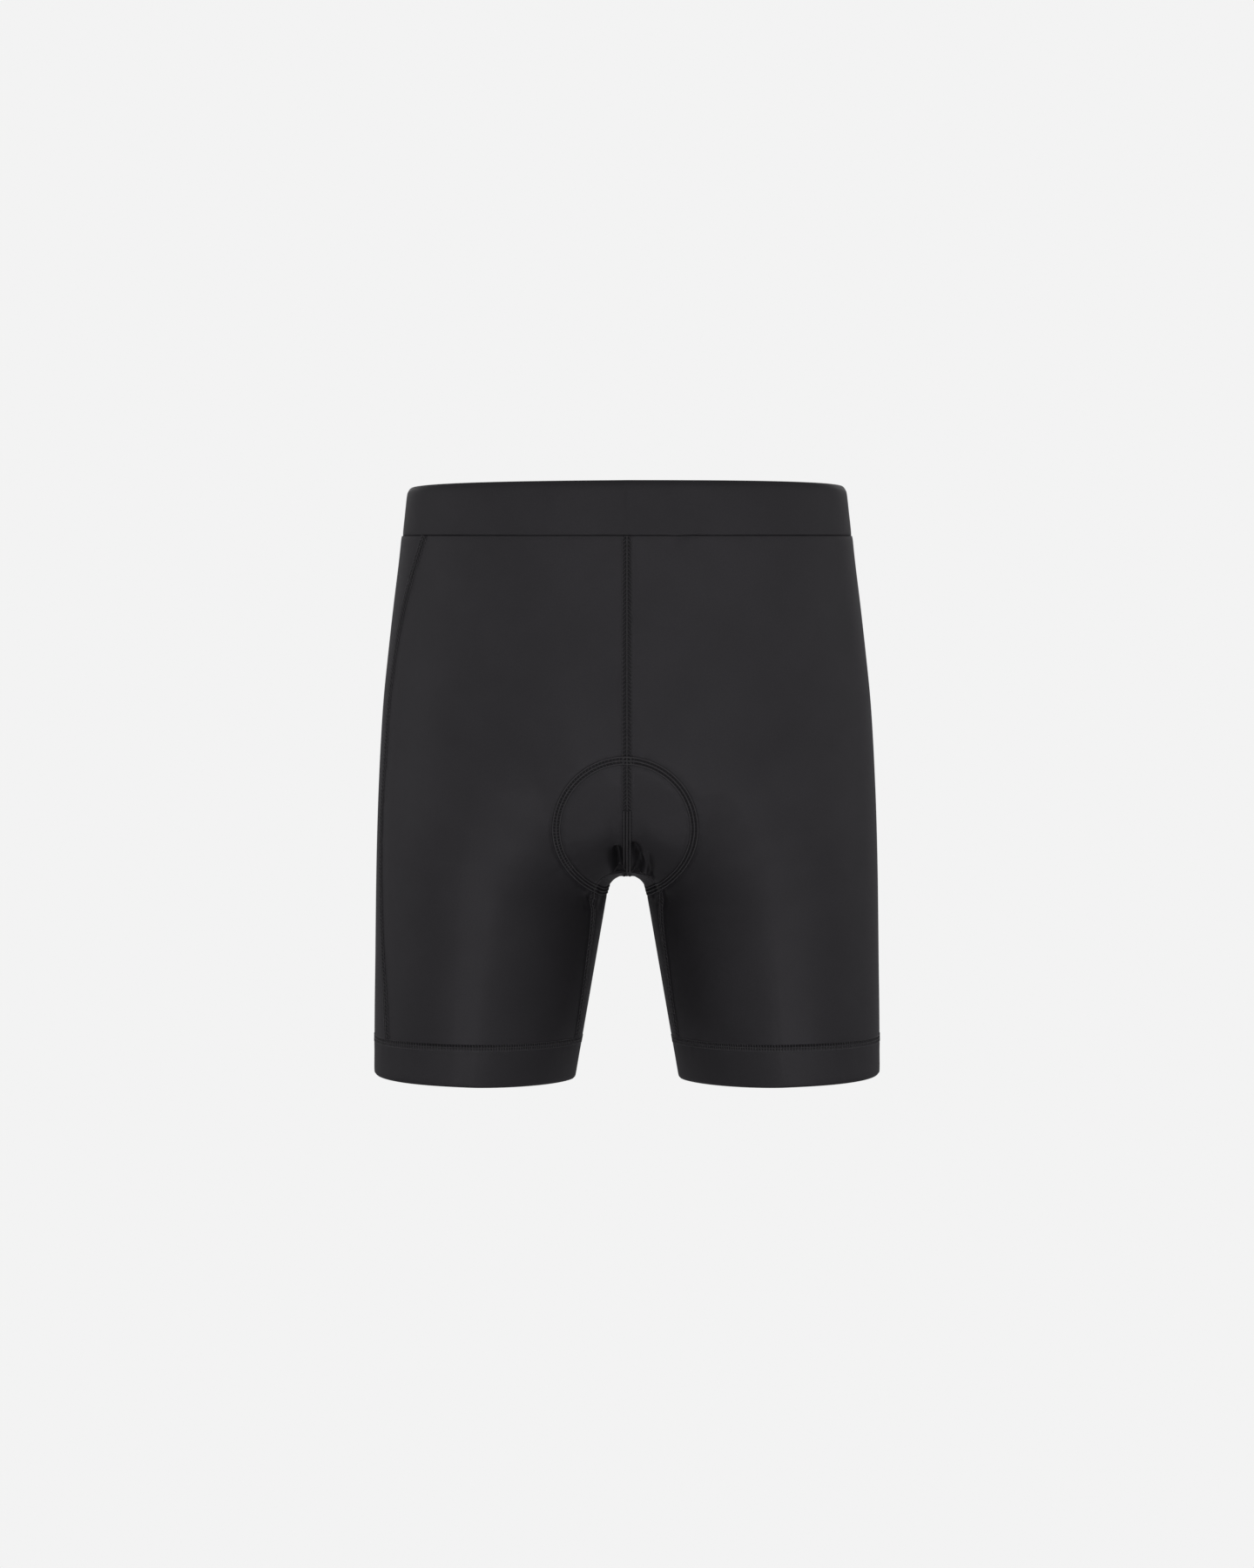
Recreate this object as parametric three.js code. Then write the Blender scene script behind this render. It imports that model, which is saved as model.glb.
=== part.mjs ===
// Cycling shorts in their worn form, hollow, with no wearer inside.
// Millimetres, +Z up. The front faces -Y and the wearer's left is +X.
// The origin is the middle of the waist opening, level with the waistband's top at the sides.
import * as THREE from "three";

// Cloth walls
const SEAM_GAP = 0.3;
const HALF_SEAM = SEAM_GAP / 2;
const PANEL_WALL = 1.4;
const WAISTBAND_WALL = 2.4;
const HEM_BAND_WALL = 2.0;
const WAISTBAND_SET_IN = 1.0; // the panels stand this far proud of the band at the waist seam

// The filled-out form by height: half width, depth before and behind the middle, squareness of the round
const FORM = [
  { z: 5, halfWidth: 155.0, front: 102.5, back: 99.5, squareness: 2.8 },
  { z: -20, halfWidth: 157.9, front: 106.0, back: 103.0, squareness: 2.75 },
  { z: -38, halfWidth: 159.6, front: 108.0, back: 106.0, squareness: 2.7 },
  { z: -55, halfWidth: 161.5, front: 109.5, back: 110.0, squareness: 2.65 },
  { z: -86, halfWidth: 165.4, front: 111.5, back: 118.0, squareness: 2.6 },
  { z: -117, halfWidth: 168.9, front: 112.5, back: 124.5, squareness: 2.6 },
  { z: -148, halfWidth: 172.1, front: 112.0, back: 128.5, squareness: 2.62 },
  { z: -179, halfWidth: 174.2, front: 109.5, back: 128.5, squareness: 2.68 },
  { z: -210, halfWidth: 175.6, front: 104.5, back: 122.5, squareness: 2.8 },
  { z: -241, halfWidth: 176.7, front: 98.0, back: 112.0, squareness: 2.9 },
  { z: -272, halfWidth: 177.5, front: 93.5, back: 102.0, squareness: 3.0 },
  { z: -303, halfWidth: 178.0, front: 90.5, back: 93.5, squareness: 3.0 },
  { z: -334, halfWidth: 178.4, front: 88.0, back: 87.0, squareness: 3.0 },
  { z: -365, halfWidth: 178.9, front: 85.3, back: 82.0, squareness: 3.0 },
  { z: -396, halfWidth: 179.2, front: 82.7, back: 78.3, squareness: 3.0 },
  { z: -425, halfWidth: 179.4, front: 80.5, back: 75.5, squareness: 3.0 },
];

// The legs part at the crotch, and the space between them widens evenly towards the hems
const CROTCH_Z = -274.8;
const BOWL_HEIGHT = 78; // the seat curves under, between the legs, over this height
const BOWL_ROUNDNESS = 2.3;
const LEG_OUTER_SQUARENESS = 2.6;
const LEG_INNER_SQUARENESS = 2.15;
const LEG_INNER_FRONT_SQUARENESS = 1.6; // each thigh slants away from its front towards the inner side
const SLANT_FULL = -20; // below this height over the crotch the slant is whole
const SLANT_NONE = 35;
const GAP_AT_CROTCH = 11.8; // half the space between the legs, if their inner sides ran straight up
const GAP_SLOPE = 0.174;
const LEGS_FULL = 5; // above the crotch, up to here the round is all leg
const LEGS_NONE = 92; // from here up it is all seat
const FILLET = 0.16; // roundness of the arch, as a share of the leg's radius
const FILLET_FULL_HEIGHT = 20;
const FILLET_NONE_HEIGHT = 78;
const FILLET_FULL_X = 25;
const FILLET_NONE_X = 80;

// Seams: how far each lies before the side line, or the leg's inner line, by height
const SIDE_SEAM = [
  { z: -20, right: 66, left: -6 },
  { z: -36, right: 63, left: -7 },
  { z: -71, right: 50, left: -8 },
  { z: -107, right: 39.5, left: -9 },
  { z: -152, right: 29, left: -9 },
  { z: -193, right: 22, left: -9 },
  { z: -224, right: 24, left: -8 },
  { z: -272, right: 31, left: -7 },
  { z: -327, right: 37, left: -7 },
  { z: -361, right: 42, left: -7 },
  { z: -400, right: 45, left: -7 },
];
const CROSSING_FORWARD = 42; // the four panels meet this far before the middle
const INSEAM = [
  { z: -262, forward: 41 },
  { z: -275, forward: 38 },
  { z: -288, forward: 31.5 },
  { z: -300, forward: 27.5 },
  { z: -312, forward: 25 },
  { z: -334, forward: 22.5 },
  { z: -356, forward: 20 },
  { z: -386, forward: 17.5 },
  { z: -425, forward: 14.5 },
];
const BACK_FORK = 55; // the seat rows start this far behind the middle
const SIDE_AT_CROTCH = -258;

// Waist: top edge and seam, both lower in front
const TOP_TILT = 0.026;
const TOP_LEAN = 0.008; // the top edge sinks this much more towards the wearer's right
const WAIST_SEAM_Z = -33.8;
const WAIST_SEAM_TILT = 0.0665;
const WAIST_SEAM_BACK_RISE = 1.3;

// Hems: the edge and its seam, both lower at the inseam
const HEM_EDGE = { z: -413.5, atX: 179, slope: 0.0433, frontRise: 0, backRise: 0 };
const HEM_SEAM = { z: -391.8, atX: 179, slope: 0.0223, frontRise: 3.4, backRise: 1.6 };

// Largest folds: pinches beside the centre-front seam, above the crotch, and below the seat stitching
const FOLDS = [
  { x: -5.5, z: -262, tilt: 12, length: 24, width: 4.5, depth: 2.4 },
  { x: 8.5, z: -259, tilt: -14, length: 20, width: 4.5, depth: 2.0 },
  { x: -26, z: -291, tilt: -30, length: 22, width: 5.0, depth: 1.6 },
  { x: 25, z: -289, tilt: 24, length: 16, width: 5.0, depth: 1.0 },
];

// Grid: rows and columns, closer together at the centre-front seam and the crotch
const FRONT_COLUMNS = { count: 17, first: 3.4, growth: 1.25, most: 16 };
const SEAT_COLUMNS = { count: 11, first: 9, growth: 1.15, most: 22 };
const FORK_COLUMNS = 7;
const FRONT_ROWS = { count: 14, first: 5, growth: 1.28, most: 26 };
const SEAT_ROWS = { count: 14, first: 7, growth: 1.25, most: 26 };
const LEG_ROWS = 9;
const LEG_ROW_CROWDING = 2.2;
const WAISTBAND_SIDES = 60;
const HEM_BAND_SIDES = 32;
const CURVE_STEP = 0.5;
const RAY_STEP = 3;
const RAY_HALVINGS = 24;
const NORMAL_STEP = 0.4;
const EDGE_PASSES = 6;

const mix = (a, b, t) => a + (b - a) * t;
const clamp01 = (t) => Math.min(Math.max(t, 0), 1);
const smooth = (t) => clamp01(t) ** 2 * (3 - 2 * clamp01(t));
const fade = (from, to, at) => smooth((at - from) / (to - from));

// One column of a table as a smooth function of its height
function curveOf(table, name) {
  const rows = [...table].sort((a, b) => a.z - b.z);
  const last = rows.length - 1;
  const slopes = rows.map((row, i) => {
    const below = rows[Math.max(i - 1, 0)];
    const above = rows[Math.min(i + 1, last)];
    return (above[name] - below[name]) / (above.z - below.z);
  });
  return (z) => {
    const i = Math.min(Math.max(rows.findIndex((row) => row.z > z) - 1, 0), last - 1);
    const at = z >= rows[last].z ? last - 1 : i;
    const span = rows[at + 1].z - rows[at].z;
    const t = clamp01((z - rows[at].z) / span);
    const bend = t * t * (3 - 2 * t);
    const start = t * (1 - t) ** 2 * span * slopes[at];
    const end = t * t * (t - 1) * span * slopes[at + 1];
    return mix(rows[at][name], rows[at + 1][name], bend) + start + end;
  };
}

const form = {
  halfWidth: curveOf(FORM, "halfWidth"),
  front: curveOf(FORM, "front"),
  back: curveOf(FORM, "back"),
  squareness: curveOf(FORM, "squareness"),
};
const inseamForward = curveOf(INSEAM, "forward");
const legGap = (z) => GAP_AT_CROTCH + GAP_SLOPE * (CROTCH_Z - z);
const legAxis = (z) => (form.halfWidth(z) + Math.max(legGap(z), 0)) / 2;

// Squareness of a leg's round, by the quarter of it
function legSquareness(side, y, z, middle) {
  if (side > middle) return LEG_OUTER_SQUARENESS;
  if (y >= 0) return LEG_INNER_SQUARENESS;
  const slant = 1 - fade(SLANT_FULL, SLANT_NONE, z - CROTCH_Z);
  return mix(LEG_INNER_SQUARENESS, LEG_INNER_FRONT_SQUARENESS, slant);
}

// The form as a field: under 1 inside, 1 on the outer face of the cloth
function field(x, y, z) {
  const halfWidth = form.halfWidth(z);
  const depth = Math.abs(y) / (y < 0 ? form.front(z) : form.back(z));
  const side = Math.abs(x);
  const n = form.squareness(z);
  const seat = ((side / halfWidth) ** n + depth ** n) ** (1 / n);
  const drop = Math.max(CROTCH_Z + BOWL_HEIGHT - z, 0) / BOWL_HEIGHT;
  const bowl = (seat ** BOWL_ROUNDNESS + drop ** BOWL_ROUNDNESS) ** (1 / BOWL_ROUNDNESS);
  const gap = legGap(z);
  const legRadius = (halfWidth - gap) / 2;
  const middle = (halfWidth + gap) / 2;
  const across = Math.abs(side - middle) / legRadius;
  const m = legSquareness(side, y, z, middle);
  const leg = (across ** m + depth ** m) ** (1 / m);
  const height = z - CROTCH_Z;
  const body = mix(leg, seat, fade(LEGS_FULL, LEGS_NONE, height));
  const roundness = FILLET * (1 - fade(FILLET_FULL_HEIGHT, FILLET_NONE_HEIGHT, height))
    * (1 - fade(FILLET_FULL_X, FILLET_NONE_X, side));
  const near = roundness > 0 ? Math.max(roundness - Math.abs(body - bowl), 0) / roundness : 0;
  return Math.min(body, bowl) - near * near * roundness / 4;
}

// The first point of the cloth's outer face along a ray from inside
function hit(from, along) {
  const at = new THREE.Vector3();
  const inside = (t) => {
    at.copy(along).multiplyScalar(t).add(from);
    return field(at.x, at.y, at.z) < 1;
  };
  let near = 0;
  while (inside(near + RAY_STEP)) near += RAY_STEP;
  let far = near + RAY_STEP;
  for (let i = 0; i < RAY_HALVINGS; i += 1) {
    const middle = (near + far) / 2;
    if (inside(middle)) near = middle;
    else far = middle;
  }
  return along.clone().multiplyScalar(near).add(from);
}

// Outward normal of the form
function normalAt(p) {
  const h = NORMAL_STEP;
  return new THREE.Vector3(
    field(p.x + h, p.y, p.z) - field(p.x - h, p.y, p.z),
    field(p.x, p.y + h, p.z) - field(p.x, p.y - h, p.z),
    field(p.x, p.y, p.z + h) - field(p.x, p.y, p.z - h),
  ).normalize();
}

// A turn about the leg's axis: 0 at the outer side, a quarter in front, a half at the inner side
function legPoint(turn, z) {
  const along = new THREE.Vector3(Math.cos(turn), -Math.sin(turn), 0);
  return hit(new THREE.Vector3(legAxis(z), 0, z), along);
}

const turnOf = (p) => Math.atan2(-p.y, p.x - legAxis(p.z));

// A turn about the body's middle, for the waistband
function waistPoint(turn, z) {
  return hit(new THREE.Vector3(0, 0, z), new THREE.Vector3(Math.sin(turn), -Math.cos(turn), 0));
}

// Height of a slanted edge where the form meets it, at a turn
function onEdge(pointAt, turn, heightAt) {
  let p = pointAt(turn, heightAt(new THREE.Vector3()));
  for (let i = 0; i < EDGE_PASSES; i += 1) p = pointAt(turn, heightAt(p));
  return p;
}

const topEdge = (p) => TOP_TILT * p.y + TOP_LEAN * Math.min(p.x, 0);
const waistSeam = (p) => (p.y < 0
  ? WAIST_SEAM_Z + WAIST_SEAM_TILT * p.y
  : WAIST_SEAM_Z + WAIST_SEAM_BACK_RISE * (1 - Math.exp(-WAIST_SEAM_TILT * p.y / WAIST_SEAM_BACK_RISE)));
const slanted = (edge) => (p) => {
  const rise = p.y < 0 ? edge.frontRise : edge.backRise;
  const depth = p.y / (p.y < 0 ? form.front(edge.z) : form.back(edge.z));
  return edge.z + edge.slope * (Math.abs(p.x) - edge.atX) + rise * depth * depth;
};
const hemEdge = slanted(HEM_EDGE);
const hemSeam = slanted(HEM_SEAM);

// Shares from 0 to 1 whose steps grow from the first one to the most
function graded({ count, first, growth, most }) {
  const sums = [0];
  for (let i = 0; i < count; i += 1) sums.push(sums[i] + Math.min(first * growth ** i, most));
  return sums.map((sum) => sum / sums[count]);
}

// The centre seam on one side, from the waist down, as far as it runs from the crotch's middle
function centreSeam(direction, lastForward) {
  const points = [];
  const along = new THREE.Vector3(0, direction, 0);
  const start = waistSeam(hit(new THREE.Vector3(HALF_SEAM, 0, WAIST_SEAM_Z), along)) - HALF_SEAM;
  for (let z = start; ; z -= CURVE_STEP) {
    const p = hit(new THREE.Vector3(HALF_SEAM, 0, z), along);
    if (Math.abs(p.y) < lastForward) break;
    points.push(p);
  }
  points.push(underCrotch(direction * lastForward));
  return points;
}

// The centre seam where it passes under, at a distance behind the middle
const underCrotch = (y) => {
  const from = new THREE.Vector3(HALF_SEAM, y, CROTCH_Z + BOWL_HEIGHT);
  return hit(from, new THREE.Vector3(0, 0, -1));
};

// Points along a fine curve at shares of its length, counted from its lower end up
function spread(points, shares) {
  const lengths = [0];
  points.forEach((p, i) => i && lengths.push(lengths[i - 1] + p.distanceTo(points[i - 1])));
  const whole = lengths[lengths.length - 1];
  return shares.map((share) => {
    const want = whole * (1 - share);
    const i = Math.min(Math.max(lengths.findIndex((length) => length >= want), 1), points.length - 1);
    return points[i - 1].clone().lerp(points[i], (want - lengths[i - 1]) / (lengths[i] - lengths[i - 1]));
  }).reverse();
}

// The side seam on one leg, as a turn, set off to one side of its line
const sideTurns = (seam) => (z, offset) => {
  const forward = seam(z);
  const p = hit(new THREE.Vector3(legAxis(z), -forward, z), new THREE.Vector3(1, 0, 0));
  return turnOf(p) + offset / Math.hypot(p.x - legAxis(z), p.y);
};
const inseamTurn = (z, offset) => {
  const forward = inseamForward(z);
  const p = hit(new THREE.Vector3(legAxis(z), -forward, z), new THREE.Vector3(-1, 0, 0));
  return turnOf(p) + offset / Math.hypot(p.x - legAxis(z), p.y);
};

// Heights of the legs' rows, from the crotch to the hem seam
const legShares = Array.from({ length: LEG_ROWS + 1 }, (_, i) => i / LEG_ROWS);
const crowded = legShares.map((share) => share ** LEG_ROW_CROWDING);

const hemPoint = (turn) => onEdge(legPoint, turn, (p) => hemSeam(p) + HALF_SEAM);

// Front panel: one grid from the waist seam to the hem seam, from the centre and inseam to the side
function frontGrid(sideTurn) {
  const shares = graded(FRONT_COLUMNS);
  const centre = spread(centreSeam(-1, CROSSING_FORWARD + HALF_SEAM), graded(FRONT_ROWS));
  const crossing = centre[centre.length - 1];
  const sideTop = onEdge(legPoint, sideTurn(WAIST_SEAM_Z, HALF_SEAM), (p) => waistSeam(p) - HALF_SEAM).z;
  const sideHem = hemPoint(sideTurn(HEM_SEAM.z, HALF_SEAM)).z;
  const inHem = hemPoint(inseamTurn(HEM_SEAM.z, -HALF_SEAM)).z;
  const rows = centre.map((p, i) => ({
    zIn: p.z,
    turnIn: turnOf(p),
    zSide: mix(sideTop, SIDE_AT_CROTCH, i / (centre.length - 1)),
  }));
  legShares.slice(1).forEach((share, i) => {
    const zIn = mix(crossing.z, inHem, crowded[i + 1]);
    rows.push({ zIn, turnIn: inseamTurn(zIn, -HALF_SEAM), zSide: mix(SIDE_AT_CROTCH, sideHem, share) });
  });
  return rows.map((row, i) => shares.map((share) => {
    const turn = mix(row.turnIn, sideTurn(row.zSide, HALF_SEAM), share);
    if (i === 0) return onEdge(legPoint, turn, (p) => waistSeam(p) - HALF_SEAM);
    if (i === rows.length - 1) return hemPoint(turn);
    if (share === 0 && i < centre.length) return centre[i];
    return legPoint(turn, mix(row.zIn, row.zSide, smooth(share)));
  }));
}

// Turns that keep growing past a whole round
function unwrapped(turns) {
  let last = turns[0];
  return turns.map((turn) => {
    last = turn < last ? turn + 2 * Math.PI : turn;
    return last;
  });
}

// Back panel: a seat grid above the fork, and a leg grid whose first columns start under the crotch
function backGrids(sideTurn) {
  const shares = graded(SEAT_COLUMNS);
  const centre = spread(centreSeam(1, BACK_FORK), graded(SEAT_ROWS));
  const sideTop = onEdge(legPoint, sideTurn(WAIST_SEAM_Z, -HALF_SEAM), (p) => waistSeam(p) - HALF_SEAM).z;
  const seat = centre.map((end, i) => shares.map((share) => {
    const zSide = mix(sideTop, SIDE_AT_CROTCH, i / (centre.length - 1));
    const turn = mix(turnOf(end), sideTurn(zSide, -HALF_SEAM), share);
    if (i === 0) return onEdge(legPoint, turn, (p) => waistSeam(p) - HALF_SEAM);
    if (share === 0) return end;
    return legPoint(turn, mix(end.z, zSide, smooth(share)));
  }));
  const fork = Array.from({ length: FORK_COLUMNS }, (_, i) => (
    underCrotch(mix(HALF_SEAM - CROSSING_FORWARD, BACK_FORK, i / FORK_COLUMNS))));
  const top = [...fork, ...seat[seat.length - 1]];
  const turns = unwrapped(top.map(turnOf));
  const around = turns.map((turn) => (turn - turns[0]) / (turns[turns.length - 1] - turns[0]));
  const leg = legShares.map((share, k) => top.map((p, i) => {
    if (k === 0) return p;
    const sideShare = smooth(around[i]);
    const turnAt = (z) => mix(inseamTurn(z, HALF_SEAM), sideTurn(z, -HALF_SEAM) + 2 * Math.PI, around[i]);
    if (k === LEG_ROWS) return hemPoint(turnAt(HEM_SEAM.z));
    const z = mix(p.z, hemPoint(turnAt(HEM_SEAM.z)).z, mix(crowded[k], share, sideShare));
    return legPoint(turnAt(z), z);
  }));
  return [seat, leg];
}

// A fold presses the cloth in along a short slanted line, seen from the front
function foldDepth(p) {
  return FOLDS.reduce((sum, fold) => {
    const tilt = THREE.MathUtils.degToRad(fold.tilt);
    const dx = p.x - fold.x;
    const dz = p.z - fold.z;
    const along = dx * Math.sin(tilt) + dz * Math.cos(tilt);
    const across = dx * Math.cos(tilt) - dz * Math.sin(tilt);
    const reach = Math.exp(-((2 * along / fold.length) ** 4) - (across / fold.width) ** 2);
    return sum + (p.y < 0 ? fold.depth * reach : 0);
  }, 0);
}

// Grids as one open sheet: points and triangles, with points that coincide shared.
// Columns run round the leg one way on a front panel and the other way on a back one.
function sheetOf(grids, columnsRunForward, mirrored) {
  const points = [];
  const faces = [];
  const known = new Map();
  const indexOf = (p) => {
    const key = [p.x, p.y, p.z].map((value) => Math.round(value * 1000)).join();
    if (!known.has(key)) {
      known.set(key, points.length);
      points.push(p);
    }
    return known.get(key);
  };
  grids.forEach((grid) => {
    for (let i = 0; i + 1 < grid.length; i += 1) {
      for (let j = 0; j + 1 < grid[i].length; j += 1) {
        const [a, b, c, d] = [grid[i][j], grid[i][j + 1], grid[i + 1][j + 1], grid[i + 1][j]].map(indexOf);
        faces.push(...(columnsRunForward ? [[a, b, c], [a, c, d]] : [[a, c, b], [a, d, c]]));
      }
    }
  });
  return { points, faces: faces.filter(([a, b, c]) => a !== b && b !== c && c !== a), mirrored };
}

// A sheet thickened inwards into one closed wall
function wallOf({ points, faces, mirrored }, thickness) {
  const count = points.length;
  const sign = mirrored ? -1 : 1;
  const outer = [];
  const inner = [];
  points.forEach((p) => {
    const n = normalAt(p);
    const folded = p.clone().addScaledVector(n, -foldDepth(new THREE.Vector3(sign * p.x, p.y, p.z)));
    const back = folded.clone().addScaledVector(n, -thickness);
    outer.push(sign * folded.x, folded.y, folded.z);
    inner.push(sign * back.x, back.y, back.z);
  });
  const open = new Map();
  faces.forEach(([a, b, c]) => [[a, b], [b, c], [c, a]].forEach(([from, to]) => {
    if (!open.delete(`${to},${from}`)) open.set(`${from},${to}`, [from, to]);
  }));
  const triangles = [];
  faces.forEach(([a, b, c]) => triangles.push([a, b, c], [c + count, b + count, a + count]));
  open.forEach(([a, b]) => triangles.push([b, a, a + count], [b, a + count, b + count]));
  return geometryOf([...outer, ...inner], triangles, mirrored);
}

function geometryOf(positions, triangles, mirrored) {
  const geometry = new THREE.BufferGeometry();
  geometry.setAttribute("position", new THREE.Float32BufferAttribute(positions, 3));
  geometry.setIndex(triangles.flatMap(([a, b, c]) => (mirrored ? [a, c, b] : [a, b, c])));
  geometry.computeVertexNormals();
  return geometry;
}

// A band round a closed line: its section gives, at a share up the band, how far in from the form it lies
function bandOf(section, sides, ringAt, mirrored) {
  const sign = mirrored ? -1 : 1;
  const positions = [];
  for (let i = 0; i < sides; i += 1) {
    const turn = 2 * Math.PI * i / sides;
    section.forEach(({ up, inset }) => {
      const p = ringAt(turn, up);
      const inward = normalAt(p).setZ(0).normalize().multiplyScalar(-inset);
      p.add(inward);
      positions.push(sign * p.x, p.y, p.z);
    });
  }
  const triangles = [];
  const size = section.length;
  for (let i = 0; i < sides; i += 1) {
    const next = (i + 1) % sides;
    section.forEach((_, j) => {
      const k = (j + 1) % size;
      triangles.push([i * size + j, next * size + j, next * size + k]);
      triangles.push([i * size + j, next * size + k, i * size + k]);
    });
  }
  return geometryOf(positions, triangles, mirrored);
}

// Waistband: from the waist seam to a soft fold that leans in at the top
function waistband() {
  const wall = WAISTBAND_WALL;
  const inset = WAISTBAND_SET_IN;
  const section = [
    { up: 0, inset },
    { up: 0.45, inset },
    { up: 0.84, inset },
    { up: 0.93, inset: inset + 0.25 * wall },
    { up: 0.985, inset: inset + 0.7 * wall },
    { up: 1, inset: inset + 1.2 * wall },
    { up: 0.975, inset: inset + 1.55 * wall },
    { up: 0.84, inset: inset + 1.15 * wall },
    { up: 0.45, inset: inset + wall },
    { up: 0, inset: inset + wall },
  ];
  return bandOf(section, WAISTBAND_SIDES, (turn, up) => (
    onEdge(waistPoint, turn, (p) => mix(waistSeam(p) + HALF_SEAM, topEdge(p), up))
  ), false);
}

// Hem band: from the hem seam down to a folded edge
function hemBand(mirrored) {
  const wall = HEM_BAND_WALL;
  const section = [
    { up: 0.03, inset: 0.18 * wall },
    { up: 0.1, inset: 0 },
    { up: 0.55, inset: 0 },
    { up: 1, inset: 0 },
    { up: 1, inset: wall },
    { up: 0.55, inset: wall },
    { up: 0.1, inset: wall },
    { up: 0.03, inset: 0.82 * wall },
    { up: 0, inset: 0.5 * wall },
  ];
  return bandOf(section, HEM_BAND_SIDES, (turn, up) => (
    onEdge(legPoint, -turn, (p) => mix(hemEdge(p), hemSeam(p) - HALF_SEAM, up))
  ), mirrored);
}

// Black nylon and elastane knit with a soft sheen, smoother on the bands
const CLOTH_COLOUR = 0x2f2e31;
const cloth = (roughness) => (
  new THREE.MeshStandardMaterial({ color: CLOTH_COLOUR, roughness, metalness: 0 }));

function piece(name, geometry, roughness) {
  const mesh = new THREE.Mesh(geometry, cloth(roughness));
  mesh.name = name;
  return mesh;
}

const shorts = new THREE.Group();
shorts.add(piece("waistband", waistband(), 0.6));
[{ side: "left", mirrored: false }, { side: "right", mirrored: true }].forEach(({ side, mirrored }) => {
  const sideTurn = sideTurns(curveOf(SIDE_SEAM, side));
  const front = wallOf(sheetOf([frontGrid(sideTurn)], false, mirrored), PANEL_WALL);
  const back = wallOf(sheetOf(backGrids(sideTurn), true, mirrored), PANEL_WALL);
  shorts.add(piece(`front_${side}`, front, 0.5));
  shorts.add(piece(`back_${side}`, back, 0.5));
  shorts.add(piece(`hem_band_${side}`, hemBand(mirrored), 0.55));
});

export default shorts;
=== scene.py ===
import math

import bpy
import numpy as np
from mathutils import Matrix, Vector


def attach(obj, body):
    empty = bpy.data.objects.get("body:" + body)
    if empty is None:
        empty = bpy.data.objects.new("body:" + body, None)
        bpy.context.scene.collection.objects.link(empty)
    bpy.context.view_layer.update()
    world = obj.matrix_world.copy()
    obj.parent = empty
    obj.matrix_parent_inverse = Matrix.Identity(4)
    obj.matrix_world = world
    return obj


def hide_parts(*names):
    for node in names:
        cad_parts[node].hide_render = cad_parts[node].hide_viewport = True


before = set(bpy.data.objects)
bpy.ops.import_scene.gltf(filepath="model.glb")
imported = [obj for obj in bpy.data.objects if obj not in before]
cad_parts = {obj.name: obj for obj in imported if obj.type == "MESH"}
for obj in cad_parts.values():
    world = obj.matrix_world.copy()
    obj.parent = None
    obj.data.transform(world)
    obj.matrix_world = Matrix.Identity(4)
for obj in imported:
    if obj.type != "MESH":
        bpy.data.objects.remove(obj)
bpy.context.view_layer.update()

MM = 0.001

# Cloth walls
PANEL_WALL = 1.4
WAISTBAND_WALL = 2.4
HEM_BAND_WALL = 2.0
WAISTBAND_SET_IN = 1.0

# The filled-out form by height
FORM_COLUMNS = ("z", "half_width", "front", "back", "squareness")
FORM = (
    (5, 155, 102.5, 99.5, 2.8),
    (-20, 157.9, 106, 103, 2.75),
    (-38, 159.6, 108, 106, 2.7),
    (-55, 161.5, 109.5, 110, 2.65),
    (-86, 165.4, 111.5, 118, 2.6),
    (-117, 168.9, 112.5, 124.5, 2.6),
    (-148, 172.1, 112, 128.5, 2.62),
    (-179, 174.2, 109.5, 128.5, 2.68),
    (-210, 175.6, 104.5, 122.5, 2.8),
    (-241, 176.7, 98, 112, 2.9),
    (-272, 177.5, 93.5, 102, 3),
    (-303, 178, 90.5, 93.5, 3),
    (-334, 178.4, 88, 87, 3),
    (-365, 178.9, 85.3, 82, 3),
    (-396, 179.2, 82.7, 78.3, 3),
    (-425, 179.4, 80.5, 75.5, 3),
)

# The legs part at the crotch, and the space between them widens towards the hems
CROTCH_Z = -274.8
BOWL_HEIGHT = 78.0
BOWL_ROUNDNESS = 2.3
LEG_OUTER_SQUARENESS = 2.6
LEG_INNER_SQUARENESS = 2.15
LEG_INNER_FRONT_SQUARENESS = 1.6
SLANT_FULL = -20.0
SLANT_NONE = 35.0
GAP_AT_CROTCH = 11.8
GAP_SLOPE = 0.174
LEGS_FULL = 5.0
LEGS_NONE = 92.0
FILLET = 0.16
FILLET_FULL_HEIGHT = 20.0
FILLET_NONE_HEIGHT = 78.0
FILLET_FULL_X = 25.0
FILLET_NONE_X = 80.0

# Seams: how far each lies before the side line, or the leg's inner line
SIDE_COLUMNS = ("z", "right", "left")
SIDE_SEAM = (
    (-20, 76, -6),
    (-36, 71, -7),
    (-65, 62, -8),
    (-88, 55.5, -8.5),
    (-112, 51, -9),
    (-140, 48, -9),
    (-173, 46.5, -9),
    (-209, 47, -8.5),
    (-245, 48.5, -7.5),
    (-281, 49.5, -7),
    (-305, 51, -7),
    (-329, 53.5, -7),
    (-353, 56.5, -7),
    (-383, 58.5, -7),
    (-400, 59, -7),
)

# The inner leg seam's distance ahead of the leg's middle
INSEAM_COLUMNS = ("z", "forward")
INSEAM = (
    (-262, 41),
    (-275, 38),
    (-288, 31.5),
    (-300, 27.5),
    (-312, 25),
    (-334, 22.5),
    (-356, 20),
    (-386, 17.5),
    (-425, 14.5),
)
CROSSING_FORWARD = 42.0
BACK_FORK = 55.0
SIDE_AT_CROTCH = -258.0

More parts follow.
